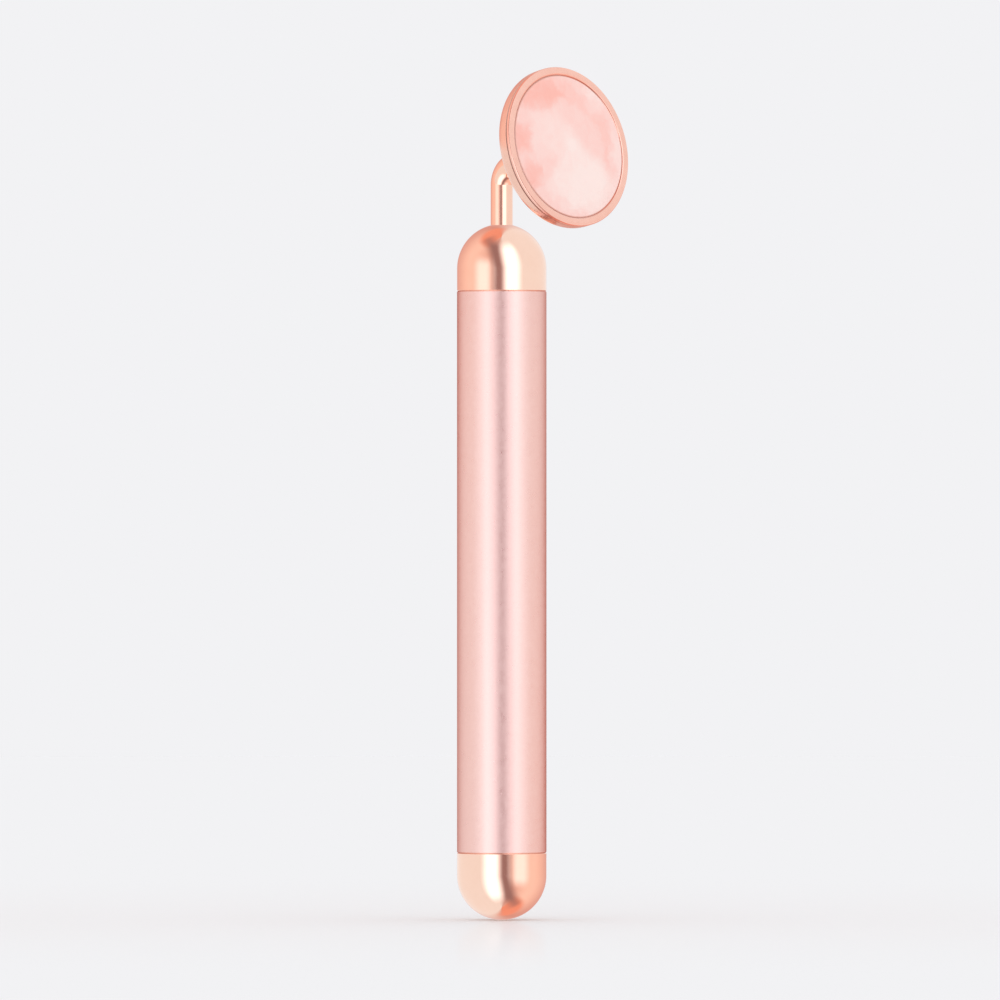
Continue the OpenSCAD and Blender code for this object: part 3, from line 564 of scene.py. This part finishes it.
def make_stone():
    """Stepped disc with a low domed face and a polished round-over at its edge."""
    edge_z = -0.1
    crown_h = STONE_CROWN - edge_z
    crown_r = (STONE_R ** 2 + crown_h ** 2) / (2 * crown_h)
    flat_r = STONE_R - STONE_EDGE_R
    top = []
    for i in range(1, 41):
        r = flat_r * i / 40
        top.append((r, STONE_CROWN - crown_r + math.sqrt(crown_r ** 2 - r ** 2)))
    edge = arc((flat_r, top[-1][1] - STONE_EDGE_R), STONE_EDGE_R, 80, 0, 8)
    step_z = -BEZEL_LIP - STONE_GAP
    outline = [(0, -STONE_DEPTH), (STONE_GIRDLE_R, -STONE_DEPTH), (STONE_GIRDLE_R, step_z), (STONE_R, step_z)]
    outline += edge[::-1] + top[::-1] + [(0, STONE_CROWN)]
    piece = turned("rose_quartz_disc", outline, steps=192, closed=False)
    move_to_head(piece)
    finish_edges(piece, 40)
    return piece


def make_collar():
    """Brass collar of the screw cap, with its thread, seal groove, plate ledge and clip groove."""
    seam = -TUBE_TOP
    foot = seam - DOME_SKIRT
    outline = [
        (COLLAR_BORE_R, PLATE_LOW), (COLLAR_BORE_R, CLIP_LOW), (CLIP_GROOVE_R, CLIP_LOW),
        (CLIP_GROOVE_R, CLIP_HIGH), (COLLAR_BORE_R, CLIP_HIGH), (COLLAR_BORE_R, COLLAR_HIGH - COLLAR_BEVEL),
        (COLLAR_BORE_R + COLLAR_BEVEL, COLLAR_HIGH), (THREAD_ROOT_R - COLLAR_BEVEL, COLLAR_HIGH),
        (THREAD_ROOT_R, COLLAR_HIGH - COLLAR_BEVEL), (THREAD_ROOT_R, THREAD_LOW - THREAD_RELIEF),
        (COLLAR_R - 0.08, THREAD_LOW - THREAD_RELIEF), (COLLAR_R, THREAD_LOW - THREAD_RELIEF - 0.08),
        (COLLAR_R, SEAL_Z + SEAL_GROOVE_HALF), (SEAL_GROOVE_R, SEAL_Z + SEAL_GROOVE_HALF),
        (SEAL_GROOVE_R, SEAL_Z - SEAL_GROOVE_HALF), (COLLAR_R, SEAL_Z - SEAL_GROOVE_HALF),
        (COLLAR_R, seam + SEAM_BEVEL), (COLLAR_DOME_R, seam + SEAM_BEVEL),
        (COLLAR_DOME_R, foot), (COLLAR_BORE_R, foot), (COLLAR_BORE_R, LEDGE_LOW),
        (PLATE_LEDGE_R, LEDGE_LOW), (PLATE_LEDGE_R, PLATE_LOW),
    ]
    body = turned("threaded_collar", outline)

    half = THREAD_PITCH * 0.42
    inside = THREAD_ROOT_R - 0.12
    start = THREAD_LOW + half
    section = [
        (inside, 0, start - half), (THREAD_ROOT_R, 0, start - half), (COLLAR_R, 0, start - 0.07),
        (COLLAR_R, 0, start + 0.07), (THREAD_ROOT_R, 0, start + half), (inside, 0, start + half),
    ]
    ridge = draw_line("thread_ridge", section, True)
    bpy.ops.object.mode_set(mode="OBJECT")
    screw = ridge.modifiers.new("thread", "SCREW")
    screw.axis = "Z"
    screw.angle = 2 * math.pi
    screw.screw_offset = (THREAD_PITCH - 0.09) * MM
    screw.iterations = THREAD_TURNS
    screw.steps = 96
    screw.render_steps = 96
    bpy.ops.object.modifier_apply(modifier="thread")
    bpy.ops.object.mode_set(mode="EDIT")
    bpy.ops.mesh.select_all(action="SELECT")
    bpy.ops.mesh.fill_holes(sides=0)
    clean_shell()
    bpy.ops.object.mode_set(mode="OBJECT")

    pick(body)
    ridge.select_set(True)
    bpy.ops.object.join()
    finish_edges(body, 25)
    return body


def make_tail_spring():
    """Round wire wound on a cone, with its first and last half coil laid flat."""
    count = 28 * SPRING_COILS
    radius = SPRING_WIRE / 2
    path = []
    for i in range(count + 1):
        t = i / count
        rise = min(max((t - 0.1) / 0.8, 0), 1)
        wide = SPRING_FOOT_R + (SPRING_TIP_R - SPRING_FOOT_R) * t - radius
        level = PLATE_HIGH + radius + (CELL_LOW - PLATE_HIGH - SPRING_WIRE) * rise
        a = 2 * math.pi * SPRING_COILS * t
        path.append((wide * math.cos(a), wide * math.sin(a), level))
    spring = draw_line("wound_tail_spring", path, False)
    bpy.ops.object.mode_set(mode="OBJECT")
    pick(spring)
    bpy.ops.object.convert(target="CURVE")
    wire = bpy.context.active_object
    wire.data.bevel_depth = radius * MM
    wire.data.bevel_resolution = 4
    wire.data.use_fill_caps = True
    bpy.ops.object.convert(target="MESH")
    spring = bpy.context.active_object
    bpy.ops.object.mode_set(mode="EDIT")
    clean_shell()
    bpy.ops.object.mode_set(mode="OBJECT")
    finish_edges(spring, 50)
    return spring


# ---------------------------------------------------------------------------------------------
# Shared effects
# ---------------------------------------------------------------------------------------------

def open_group(name, inputs, outputs):
    group = bpy.data.node_groups.new(name, "ShaderNodeTree")
    for label, kind in inputs:
        group.interface.new_socket(name=label, in_out="INPUT", socket_type="NodeSocket" + kind)
    for label, kind in outputs:
        group.interface.new_socket(name=label, in_out="OUTPUT", socket_type="NodeSocket" + kind)
    given = group.nodes.new("NodeGroupInput")
    made = group.nodes.new("NodeGroupOutput")
    return group, given.outputs, made.inputs


def place_group(tree, group, **values):
    node = add_node(tree, "ShaderNodeGroup", node_tree=group)
    for label, value in values.items():
        feed(tree, node.inputs[label], value)
    return node.outputs


def build_fine_grain():
    """Grain of a surface: a colour and a roughness that wander, and a height for its bump."""
    group, given, made = open_group(
        "fine_grain",
        [("Vector", "Vector"), ("Scale", "Float"), ("Dark", "Color"), ("Light", "Color"),
         ("Smooth", "Float"), ("Rough", "Float")],
        [("Colour", "Color"), ("Roughness", "Float"), ("Height", "Float")],
    )
    grain = noise_of(group, given["Vector"], given["Scale"], 4)
    cloud = noise_of(group, given["Vector"], math_node(group, "MULTIPLY", given["Scale"], 0.17), 3)
    grain_half = math_node(group, "MULTIPLY", grain, 0.5)
    cloud_half = math_node(group, "MULTIPLY", cloud, 0.5)
    tone = spread(group, math_node(group, "ADD", grain_half, cloud_half), 0, 1, 0.35, 0.65)
    group.links.new(mix_colours(group, tone, given["Dark"], given["Light"]), made["Colour"])
    group.links.new(spread(group, cloud, given["Smooth"], given["Rough"]), made["Roughness"])
    group.links.new(grain, made["Height"])
    return group


def build_lathe_marks():
    """Fine tool marks of a turned surface: lines along its axis, and rings round it."""
    group, given, made = open_group(
        "lathe_marks",
        [("Vector", "Vector"), ("Scale", "Float"), ("Wander", "Float")],
        [("Lines", "Float"), ("Rings", "Float")],
    )
    for label, settings in (
        ("Lines", {"wave_type": "BANDS", "bands_direction": "Z"}),
        ("Rings", {"wave_type": "RINGS", "rings_direction": "Z"}),
    ):
        wave = add_node(group, "ShaderNodeTexWave", **settings)
        group.links.new(given["Vector"], wave.inputs["Vector"])
        group.links.new(given["Scale"], wave.inputs["Scale"])
        group.links.new(given["Wander"], wave.inputs["Distortion"])
        wave.inputs["Detail"].default_value = 2
        wave.inputs["Detail Scale"].default_value = 2.5
        group.links.new(wave.outputs["Fac"], made[label])
    return group


def build_wipe_marks():
    """Faint haze that a cloth leaves, drawn out along one axis."""
    group, given, made = open_group(
        "wipe_marks",
        [("Vector", "Vector"), ("Scale", "Float"), ("Stretch", "Vector")],
        [("Haze", "Float")],
    )
    long = vector_node(group, "MULTIPLY", given["Vector"], given["Stretch"])
    group.links.new(noise_of(group, long, given["Scale"], 5, 0.6), made["Haze"])
    return group


FINE_GRAIN = build_fine_grain()
LATHE_MARKS = build_lathe_marks()
WIPE_MARKS = build_wipe_marks()


# ---------------------------------------------------------------------------------------------
# Finishes
# ---------------------------------------------------------------------------------------------

def new_finish(name, metallic, roughness):
    """A material with its shader, and the object coordinates that all its detail reads."""
    material = bpy.data.materials.new(name)
    material.use_nodes = True
    tree = material.node_tree
    tree.nodes.clear()
    shader = add_node(tree, "ShaderNodeBsdfPrincipled")
    shader.inputs["Metallic"].default_value = metallic
    shader.inputs["Roughness"].default_value = roughness
    output = add_node(tree, "ShaderNodeOutputMaterial")
    tree.links.new(shader.outputs[0], output.inputs["Surface"])
    place = add_node(tree, "ShaderNodeTexCoord")
    return material, tree, shader, place.outputs["Object"]


def bump_of(tree, shader, height, distance, strength=1.0):
    node = add_node(tree, "ShaderNodeBump")
    node.inputs["Strength"].default_value = strength
    node.inputs["Distance"].default_value = distance * MM
    feed(tree, node.inputs["Height"], height)
    tree.links.new(node.outputs[0], shader.inputs["Normal"])


def on_head(tree, place):
    """Turns object coordinates into millimetres in the head's own frame."""
    node = add_node(tree, "ShaderNodeMapping", vector_type="TEXTURE")
    node.inputs["Location"].default_value = (0, -NECK_REACH * MM, HEAD_Z * MM)
    node.inputs["Rotation"].default_value = (math.radians(90 - HEAD_TILT), 0, 0)
    node.inputs["Scale"].default_value = (MM, MM, MM)
    feed(tree, node.inputs["Vector"], place)
    return node.outputs[0]


def polished_rose_gold(name, dark, light):
    material, tree, shader, place = new_finish(name, 1.0, 0.05)
    grain = place_group(
        tree, FINE_GRAIN, Vector=place, Scale=420.0, Dark=(*dark, 1), Light=(*light, 1),
        Smooth=0.035, Rough=0.06,
    )
    haze = place_group(tree, WIPE_MARKS, Vector=place, Scale=900.0, Stretch=(1, 1, 0.15))
    tree.links.new(grain["Colour"], shader.inputs["Base Color"])
    gloss = math_node(tree, "ADD", grain["Roughness"], spread(tree, haze["Haze"], 0, 0.03, 0.45, 0.75))
    tree.links.new(gloss, shader.inputs["Roughness"])
    return material


def satin_rose_gold(name, dark, light):
    """The head's plating, with fine brushing that runs round the head."""
    material, tree, shader, place = new_finish(name, 1.0, 0.16)
    local = on_head(tree, place)
    grain = place_group(
        tree, FINE_GRAIN, Vector=place, Scale=700.0, Dark=(*dark, 1), Light=(*light, 1),
        Smooth=0.2, Rough=0.27,
    )
    marks = place_group(tree, LATHE_MARKS, Vector=local, Scale=3.6, Wander=1.5)
    tree.links.new(grain["Colour"], shader.inputs["Base Color"])
    tree.links.new(grain["Roughness"], shader.inputs["Roughness"])
    bump_of(tree, shader, marks["Rings"], 0.002, 0.5)
    return material


def pink_anodised():
    """Blasted and anodised aluminium: a satin pink with a fine sparkle."""
    material, tree, shader, place = new_finish("pink_anodised", 1.0, 0.3)
    shader.inputs["Specular Tint"].default_value = (0.62, 0.36, 0.32, 1)
    grain = place_group(
        tree, FINE_GRAIN, Vector=place, Scale=5200.0, Smooth=0.27, Rough=0.33,
        Dark=(0.865, 0.607, 0.565, 1), Light=(0.905, 0.657, 0.615, 1),
    )
    lumps = noise_of(tree, place, 1900, 2, 0.6)
    tree.links.new(grain["Colour"], shader.inputs["Base Color"])
    tree.links.new(grain["Roughness"], shader.inputs["Roughness"])
    relief = math_node(tree, "ADD", math_node(tree, "MULTIPLY", grain["Height"], 0.15), lumps)
    bump_of(tree, shader, relief, 0.012, 0.25)
    return material


def along(tree, axes, x_share, y_share):
    """How far a point lies along a direction in the plane of the head."""
    in_x = math_node(tree, "MULTIPLY", axes[0], x_share)
    in_y = math_node(tree, "MULTIPLY", axes[1], y_share)
    return math_node(tree, "ADD", in_x, in_y)


def cloud(tree, place, centre, size, soft=0.7):
    """A soft round cloud in the stone: 1 in its middle and 0 outside size."""
    away = vector_node(tree, "SUBTRACT", place, (*centre, 0))
    flat = vector_node(tree, "MULTIPLY", away, (1 / size[0], 1 / size[1], 0))
    return ramp_down(tree, vector_node(tree, "LENGTH", flat, output=1), 1 - soft, 1)


def rose_quartz():
    """Polished rose quartz: a pale wedge that spreads from near its middle, and pinker clouds
    along its edge."""
    material, tree, shader, place = new_finish("rose_quartz", 0.0, 0.09)
    shader.inputs["IOR"].default_value = 1.54
    local = on_head(tree, place)
    wander = noise_of(tree, local, 0.28, 4, 0.55, output="Color")
    centred = vector_node(tree, "SUBTRACT", wander, (0.5, 0.5, 0.5))
    shift = vector_node(tree, "MULTIPLY", centred, (5.5, 5.5, 0))
    warped = vector_node(tree, "ADD", local, shift)
    fine = vector_node(tree, "ADD", local, vector_node(tree, "MULTIPLY", shift, (0.25, 0.25, 0)))

    axes = split(tree, fine)
    inside_left = ramp_up(tree, along(tree, axes, 0.757, -0.653), -2.2, 0.6)
    inside_right = ramp_up(tree, along(tree, axes, -0.539, -0.842), -2.9, 0.0)
    wedge = math_node(tree, "MULTIPLY", inside_left, inside_right)
    wedge = math_node(tree, "MULTIPLY", wedge, cloud(tree, warped, (0.8, -5.0), (12.5, 12.5), 0.55))

    flat = vector_node(tree, "MULTIPLY", warped, (1, 1, 0))
    near_edge = band(tree, vector_node(tree, "LENGTH", flat, output=1), 8.6, 11.8, 1.3)
    upper_right = ramp_up(tree, along(tree, split(tree, warped), 0.77, 0.64), 2.0, 6.0)
    crescent = math_node(tree, "MULTIPLY", near_edge, upper_right)

    pale = math_node(tree, "MULTIPLY", wedge, 0.42)
    for centre, size, amount in (
        ((-4.6, 2.2), (7.5, 6.4), 0.26),
        ((0.6, 1.6), (3.4, 3.4), 0.16),
        ((8.8, 9.4), (4.2, 4.8), 0.30),
        ((12.8, -1.6), (3.4, 7.0), 0.30),
        ((4.0, -7.5), (9.5, 6.0), 0.14),
    ):
        patch = math_node(tree, "MULTIPLY", cloud(tree, warped, centre, size), amount)
        pale = math_node(tree, "ADD", pale, patch)
    pink = math_node(tree, "MULTIPLY", crescent, 0.2)
    for centre, size, amount in (
        ((-6.5, 11.0), (9.5, 5.0), 0.42),
        ((-12.2, 1.6), (3.4, 4.6), 0.40),
        ((-10.6, -5.8), (3.2, 4.2), 0.36),
        ((-5.4, -11.6), (4.6, 2.8), 0.18),
        ((2.5, -13.6), (9.0, 1.8), 0.24),
    ):
        patch = math_node(tree, "MULTIPLY", cloud(tree, warped, centre, size), amount)
        pink = math_node(tree, "ADD", pink, patch)
    veins = noise_of(tree, warped, 0.55, 5, 0.6)
    clouds = math_node(tree, "SUBTRACT", pale, pink)
    tone = math_node(tree, "ADD", clouds, spread(tree, veins, 0.37, 0.55))
    colours = add_node(tree, "ShaderNodeValToRGB")
    colours.color_ramp.elements[0].position = 0.0
    colours.color_ramp.elements[0].color = (1.0, 0.495, 0.42, 1)
    colours.color_ramp.elements[1].position = 1.0
    colours.color_ramp.elements[1].color = (1.0, 0.80, 0.75, 1)
    middle = colours.color_ramp.elements.new(0.42)
    middle.color = (1.0, 0.64, 0.585, 1)
    tree.links.new(tone, colours.inputs[0])
    tree.links.new(colours.outputs[0], shader.inputs["Base Color"])
    polish = noise_of(tree, local, 0.9, 4)
    tree.links.new(spread(tree, polish, 0.06, 0.13), shader.inputs["Roughness"])
    bump_of(tree, shader, polish, 0.004, 0.4)
    return material


def plain_finish(
    name, dark, light, metallic=0.0, gloss=(0.3, 0.45), grain=1200.0, relief=0.01, lathe=0.0, wander=1.0,
):
    """A material whose grain, gloss and tool marks come from the shared effects."""
    material, tree, shader, place = new_finish(name, metallic, gloss[0])
    made = place_group(
        tree, FINE_GRAIN, Vector=place, Scale=grain, Dark=(*dark, 1), Light=(*light, 1),
        Smooth=gloss[0], Rough=gloss[1],
    )
    height = made["Height"]
    if lathe:
        marks = place_group(tree, LATHE_MARKS, Vector=place, Scale=lathe, Wander=wander)
        height = math_node(tree, "ADD", math_node(tree, "MULTIPLY", height, 0.35), marks["Lines"])
    tree.links.new(made["Colour"], shader.inputs["Base Color"])
    tree.links.new(made["Roughness"], shader.inputs["Roughness"])
    bump_of(tree, shader, height, relief, 0.6)
    return material


def add_over(material, mask_of, colour):
    """Paints colour over a finish where mask_of gives 1."""
    tree = material.node_tree
    shader = next(node for node in tree.nodes if node.type == "BSDF_PRINCIPLED")
    place = next(node for node in tree.nodes if node.type == "TEX_COORD").outputs["Object"]
    below = shader.inputs["Base Color"].links[0].from_socket
    tree.links.new(mix_colours(tree, mask_of(tree, place), below, colour), shader.inputs["Base Color"])
    return material


def metal_where(material, mask_of, metallic=1.0):
    """Makes a finish metal where mask_of gives 1."""
    tree = material.node_tree
    shader = next(node for node in tree.nodes if node.type == "BSDF_PRINCIPLED")
    place = next(node for node in tree.nodes if node.type == "TEX_COORD").outputs["Object"]
    tree.links.new(math_node(tree, "MULTIPLY", mask_of(tree, place), metallic), shader.inputs["Metallic"])
    return material


def heater_track_mask(tree, place):
    """The tracks stand out behind the heater film."""
    level = split(tree, on_head(tree, place))[2]
    return ramp_down(tree, level, TRACK_TOP - 0.004, TRACK_TOP + 0.004)


def chip_leg_mask(tree, place):
    """The legs stand out on both sides of the chip's body."""
    aside = math_node(tree, "ABSOLUTE", split(tree, place)[0])
    return ramp_up(tree, aside, CHIP_BODY_HALF * MM, (CHIP_BODY_HALF + 0.03) * MM)


def capacitor_end_mask(tree, place):
    """The silvered ends of the two rows of capacitors."""
    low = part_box("capacitors")[0][2]
    level = split(tree, place)[2]
    ends = None
    for foot in CAPACITOR_ROWS:
        for start in (foot, foot + CAPACITOR_LEN - CAPACITOR_END):
            lower, upper = low + (start - 0.01) * MM, low + (start + CAPACITOR_END) * MM
            end = band(tree, level, lower, upper, 0.01 * MM)
            ends = end if ends is None else math_node(tree, "MAXIMUM", ends, end)
    return ends


def board_trace_mask(tree, place):
    """Copper traces that show through the board's solder mask."""
    axes = split(tree, place)
    flat = add_node(tree, "ShaderNodeCombineXYZ")
    tree.links.new(axes[2], flat.inputs[0])
    tree.links.new(axes[0], flat.inputs[1])
    lines = add_node(tree, "ShaderNodeTexBrick", offset=0.37, squash=1.0)
    tree.links.new(flat.outputs[0], lines.inputs["Vector"])
    lines.inputs["Scale"].default_value = 1.0
    lines.inputs["Mortar Size"].default_value = BOARD_TRACE * MM
    lines.inputs["Mortar Smooth"].default_value = 0.1
    lines.inputs["Brick Width"].default_value = 2.6 * MM
    lines.inputs["Row Height"].default_value = 0.95 * MM
    return lines.outputs["Fac"]


def winding_mask(tree, place):
    marks = place_group(tree, LATHE_MARKS, Vector=place, Scale=2090.0, Wander=0.6)
    return spread(tree, marks["Lines"], 0, 0.75, 0.0, 0.5)


def lamination_mask(tree, place):
    marks = place_group(tree, LATHE_MARKS, Vector=place, Scale=900.0, Wander=0.0)
    return ramp_down(tree, marks["Lines"], 0.05, 0.3)


def jacket_ring_mask(tree, place):
    """A plain light ring round the upper end of the cell's jacket."""
    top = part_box("cell_can")[1][2]
    level = split(tree, place)[2]
    return band(tree, level, top - JACKET_RING_LOW * MM, top - JACKET_RING_HIGH * MM, 0.05 * MM)


def foam_finish():
    material, tree, shader, place = new_finish("foam_dark", 0.0, 0.9)
    cells = add_node(tree, "ShaderNodeTexVoronoi")
    tree.links.new(place, cells.inputs["Vector"])
    cells.inputs["Scale"].default_value = 2600.0
    tone = spread(tree, cells.outputs["Distance"], 0, 1, 0.1, 0.6)
    colour = mix_colours(tree, tone, (0.04, 0.04, 0.045, 1), (0.15, 0.15, 0.16, 1))
    tree.links.new(colour, shader.inputs["Base Color"])
    tree.links.new(spread(tree, cells.outputs["Distance"], 0.95, 0.8), shader.inputs["Roughness"])
    bump_of(tree, shader, cells.outputs["Distance"], 0.12, 0.9)
    return material


def tin_plated(mask, name, dark, light, gloss, relief):
    material = plain_finish(name, dark, light, gloss=gloss, relief=relief)
    return metal_where(add_over(material, mask, (0.8, 0.8, 0.79, 1)), mask)


def inner_finishes():
    """A finish for each of the record's slots that is found inside the wand."""
    brass = ((0.74, 0.57, 0.28), (0.86, 0.70, 0.40))
    steel = ((0.69, 0.70, 0.72), (0.80, 0.81, 0.83))
    copper = ((0.70, 0.36, 0.18), (0.84, 0.50, 0.30))
    return {
        "brass_part": plain_finish(
            "turned_brass", *brass,
            metallic=1.0, gloss=(0.2, 0.34), grain=900.0, relief=0.006, lathe=2600.0,
        ),
        "steel_part": plain_finish(
            "bright_steel", *steel,
            metallic=1.0, gloss=(0.18, 0.32), grain=1100.0, relief=0.004, lathe=3000.0,
        ),
        "dark_steel": add_over(
            plain_finish(
                "core_steel", (0.36, 0.37, 0.4), (0.48, 0.49, 0.52),
                metallic=1.0, gloss=(0.3, 0.45), grain=1500.0, relief=0.01,
            ),
            lamination_mask, (0.10, 0.10, 0.12, 1)),
        "magnet_ferrite": plain_finish(
            "magnet_ferrite", (0.13, 0.13, 0.145), (0.27, 0.27, 0.29),
            gloss=(0.5, 0.72), grain=4200.0, relief=0.02,
        ),
        "winding_copper": add_over(
            plain_finish(
                "wound_copper", *copper,
                metallic=1.0, gloss=(0.22, 0.36), grain=900.0, relief=0.05, lathe=2090.0, wander=0.6,
            ),
            winding_mask, (0.34, 0.13, 0.05, 1)),
        "heat_pad_grey": plain_finish(
            "heat_pad_silicone", (0.66, 0.69, 0.73), (0.76, 0.79, 0.82),
            gloss=(0.5, 0.7), grain=1800.0, relief=0.01,
        ),
        "heater_film_amber": metal_where(add_over(
            plain_finish(
                "heater_film", (0.62, 0.29, 0.11), (0.76, 0.42, 0.2),
                gloss=(0.18, 0.3), grain=500.0, relief=0.004,
            ),
            heater_track_mask, (0.82, 0.47, 0.3, 1)), heater_track_mask),
        "foam_dark": foam_finish(),
        "sensor_bead": plain_finish(
            "sensor_epoxy", (0.07, 0.07, 0.08), (0.13, 0.13, 0.14),
            gloss=(0.12, 0.25), grain=1600.0, relief=0.01,
        ),
        "lead_red": plain_finish(
            "lead_red", (0.6, 0.06, 0.05), (0.72, 0.1, 0.085),
            gloss=(0.3, 0.45), grain=1500.0, relief=0.006,
        ),
        "lead_black": plain_finish(
            "lead_black", (0.035, 0.035, 0.037), (0.06, 0.06, 0.063),
            gloss=(0.3, 0.45), grain=1500.0, relief=0.006,
        ),
        "lead_blue": plain_finish(
            "lead_blue", (0.09, 0.18, 0.52), (0.15, 0.26, 0.66),
            gloss=(0.3, 0.45), grain=1500.0, relief=0.006,
        ),
        "frame_black": plain_finish(
            "moulded_frame", (0.075, 0.075, 0.082), (0.125, 0.125, 0.135),
            gloss=(0.42, 0.6), grain=3200.0, relief=0.015,
        ),
        "end_cap_white": plain_finish(
            "moulded_nylon", (0.82, 0.82, 0.8), (0.92, 0.92, 0.9),
            gloss=(0.38, 0.52), grain=2200.0, relief=0.01,
        ),
        "board_green": add_over(
            plain_finish(
                "board_mask", (0.04, 0.24, 0.12), (0.075, 0.33, 0.18),
                gloss=(0.2, 0.32), grain=1300.0, relief=0.006,
            ),
            board_trace_mask, (0.16, 0.46, 0.26, 1)),
        "chip_black": tin_plated(
            chip_leg_mask, "chip_and_legs", (0.05, 0.05, 0.057), (0.09, 0.09, 0.1),
            gloss=(0.35, 0.5), relief=0.008,
        ),
        "capacitor_tan": tin_plated(
            capacitor_end_mask, "capacitor_ceramic", (0.58, 0.43, 0.29), (0.72, 0.58, 0.42),
            gloss=(0.3, 0.45), relief=0.006,
        ),
        "boot_rubber": plain_finish(
            "boot_rubber", (0.055, 0.055, 0.057), (0.1, 0.1, 0.104),
            gloss=(0.6, 0.8), grain=2600.0, relief=0.02, lathe=700.0,
        ),
        "sleeve_film": plain_finish(
            "sleeve_film", (0.78, 0.79, 0.8), (0.88, 0.89, 0.9),
            gloss=(0.2, 0.35), grain=700.0, relief=0.01,
        ),
        "cell_jacket": add_over(
            plain_finish(
                "cell_jacket", (0.18, 0.23, 0.29), (0.25, 0.31, 0.37),
                gloss=(0.12, 0.22), grain=260.0, relief=0.006,
            ),
            jacket_ring_mask, (0.78, 0.79, 0.8, 1)),
        "washer_white": plain_finish(
            "fibre_washer", (0.84, 0.84, 0.82), (0.95, 0.95, 0.94),
            gloss=(0.6, 0.8), grain=2400.0, relief=0.015,
        ),
        "seal_rubber": plain_finish(
            "seal_rubber", (0.04, 0.04, 0.042), (0.08, 0.08, 0.083),
            gloss=(0.45, 0.6), grain=2000.0, relief=0.01,
        ),
    }


def stone_seam_painted_shade(tree, place):
    """A fine line of painted shade where the ring is burnished over the stone's edge."""
    flat = vector_node(tree, "MULTIPLY", on_head(tree, place), (1, 1, 0))
    return band(tree, vector_node(tree, "LENGTH", flat, output=1), STONE_R - 0.18, STONE_R + 0.24, 0.08)


def cup_groove_painted_shade(tree, place):
    """A line of painted shade in the groove between the cup and the ring."""
    local = on_head(tree, place)
    flat = vector_node(tree, "MULTIPLY", local, (1, 1, 0))
    outside = ramp_up(tree, vector_node(tree, "LENGTH", flat, output=1), HEAD_R - 0.25, HEAD_R - 0.1)
    level = band(tree, split(tree, local)[2], -BEZEL_H - 0.12, -BEZEL_H + 0.12, 0.06)
    return math_node(tree, "MULTIPLY", outside, level)


gold = polished_rose_gold("polished_rose_gold", (0.945, 0.645, 0.515), (0.965, 0.675, 0.545))
neck_gold = polished_rose_gold("neck_rose_gold", (0.93, 0.59, 0.455), (0.95, 0.625, 0.49))
cup_gold = satin_rose_gold("cup_rose_gold", (0.88, 0.54, 0.43), (0.93, 0.59, 0.48))
ring_gold = satin_rose_gold("ring_rose_gold", (0.92, 0.525, 0.425), (0.97, 0.575, 0.475))
pink = pink_anodised()
quartz = rose_quartz()
# Painted shade in the groove between the cup and the ring, on the cup and on the ring.
for head_gold in (cup_gold, ring_gold):
    add_over(head_gold, cup_groove_painted_shade, (0.54, 0.31, 0.24, 1))
# Painted shade along the seam between the ring and the stone, on both of them.
add_over(ring_gold, stone_seam_painted_shade, (0.78, 0.43, 0.35, 1))
add_over(quartz, stone_seam_painted_shade, (0.82, 0.46, 0.38, 1))
finishes = inner_finishes()
finishes.update({"rose_gold": gold, "pink_anodised": pink, "rose_quartz": quartz})
coil_core = plain_finish("coil_core", (0.10, 0.10, 0.11), (0.19, 0.19, 0.2), 0.0, (0.4, 0.6), 2600.0, 0.02)

# The domes mirror the studio alone, without the head and the neck
UNMIRRORED = (
    "neck_tube", "head_cup", "bezel_ring", "stone_disc", "heat_pad", "heater_film", "foam_disc",
    "heat_sensor", "lead_left", "lead_right",
)

slot_of = {row["node"]: row["material_slot"] for row in frame["record"]["subparts"]}
for name, node in nodes.items():
    finish = coil_core if name == "boost_coil" else finishes[slot_of[name]]
    if node.material_slots:
        for place in node.material_slots:
            place.material = finish
    else:
        node.data.materials.append(finish)
    node.visible_glossy = name not in UNMIRRORED

for piece, material, node, body, slot in (
    (make_tube(), pink, "handle_tube", "handle", "pink_anodised"),
    (make_dome("upper_dome", True, False), gold, "top_dome", "handle", "rose_gold"),
    (make_dome("lower_dome", False, True), gold, "bottom_dome", "end_cap", "rose_gold"),
    (make_neck(), neck_gold, "neck_tube", "handle", "rose_gold"),
    (make_cup(), cup_gold, "head_cup", "handle", "rose_gold"),
    (make_bezel(), ring_gold, "bezel_ring", "handle", "rose_gold"),
    (make_stone(), quartz, "stone_disc", "handle", "rose_quartz"),
    (make_collar(), finishes["brass_part"], "cap_collar", "end_cap", "brass_part"),
    (make_tail_spring(), finishes["steel_part"], "tail_spring", None, "steel_part"),
):
    piece.data.materials.clear()
    piece.data.materials.append(material)
    if body:
        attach(piece, body)
    else:
        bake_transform(piece)
    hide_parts(node)
    piece.visible_glossy = node not in UNMIRRORED
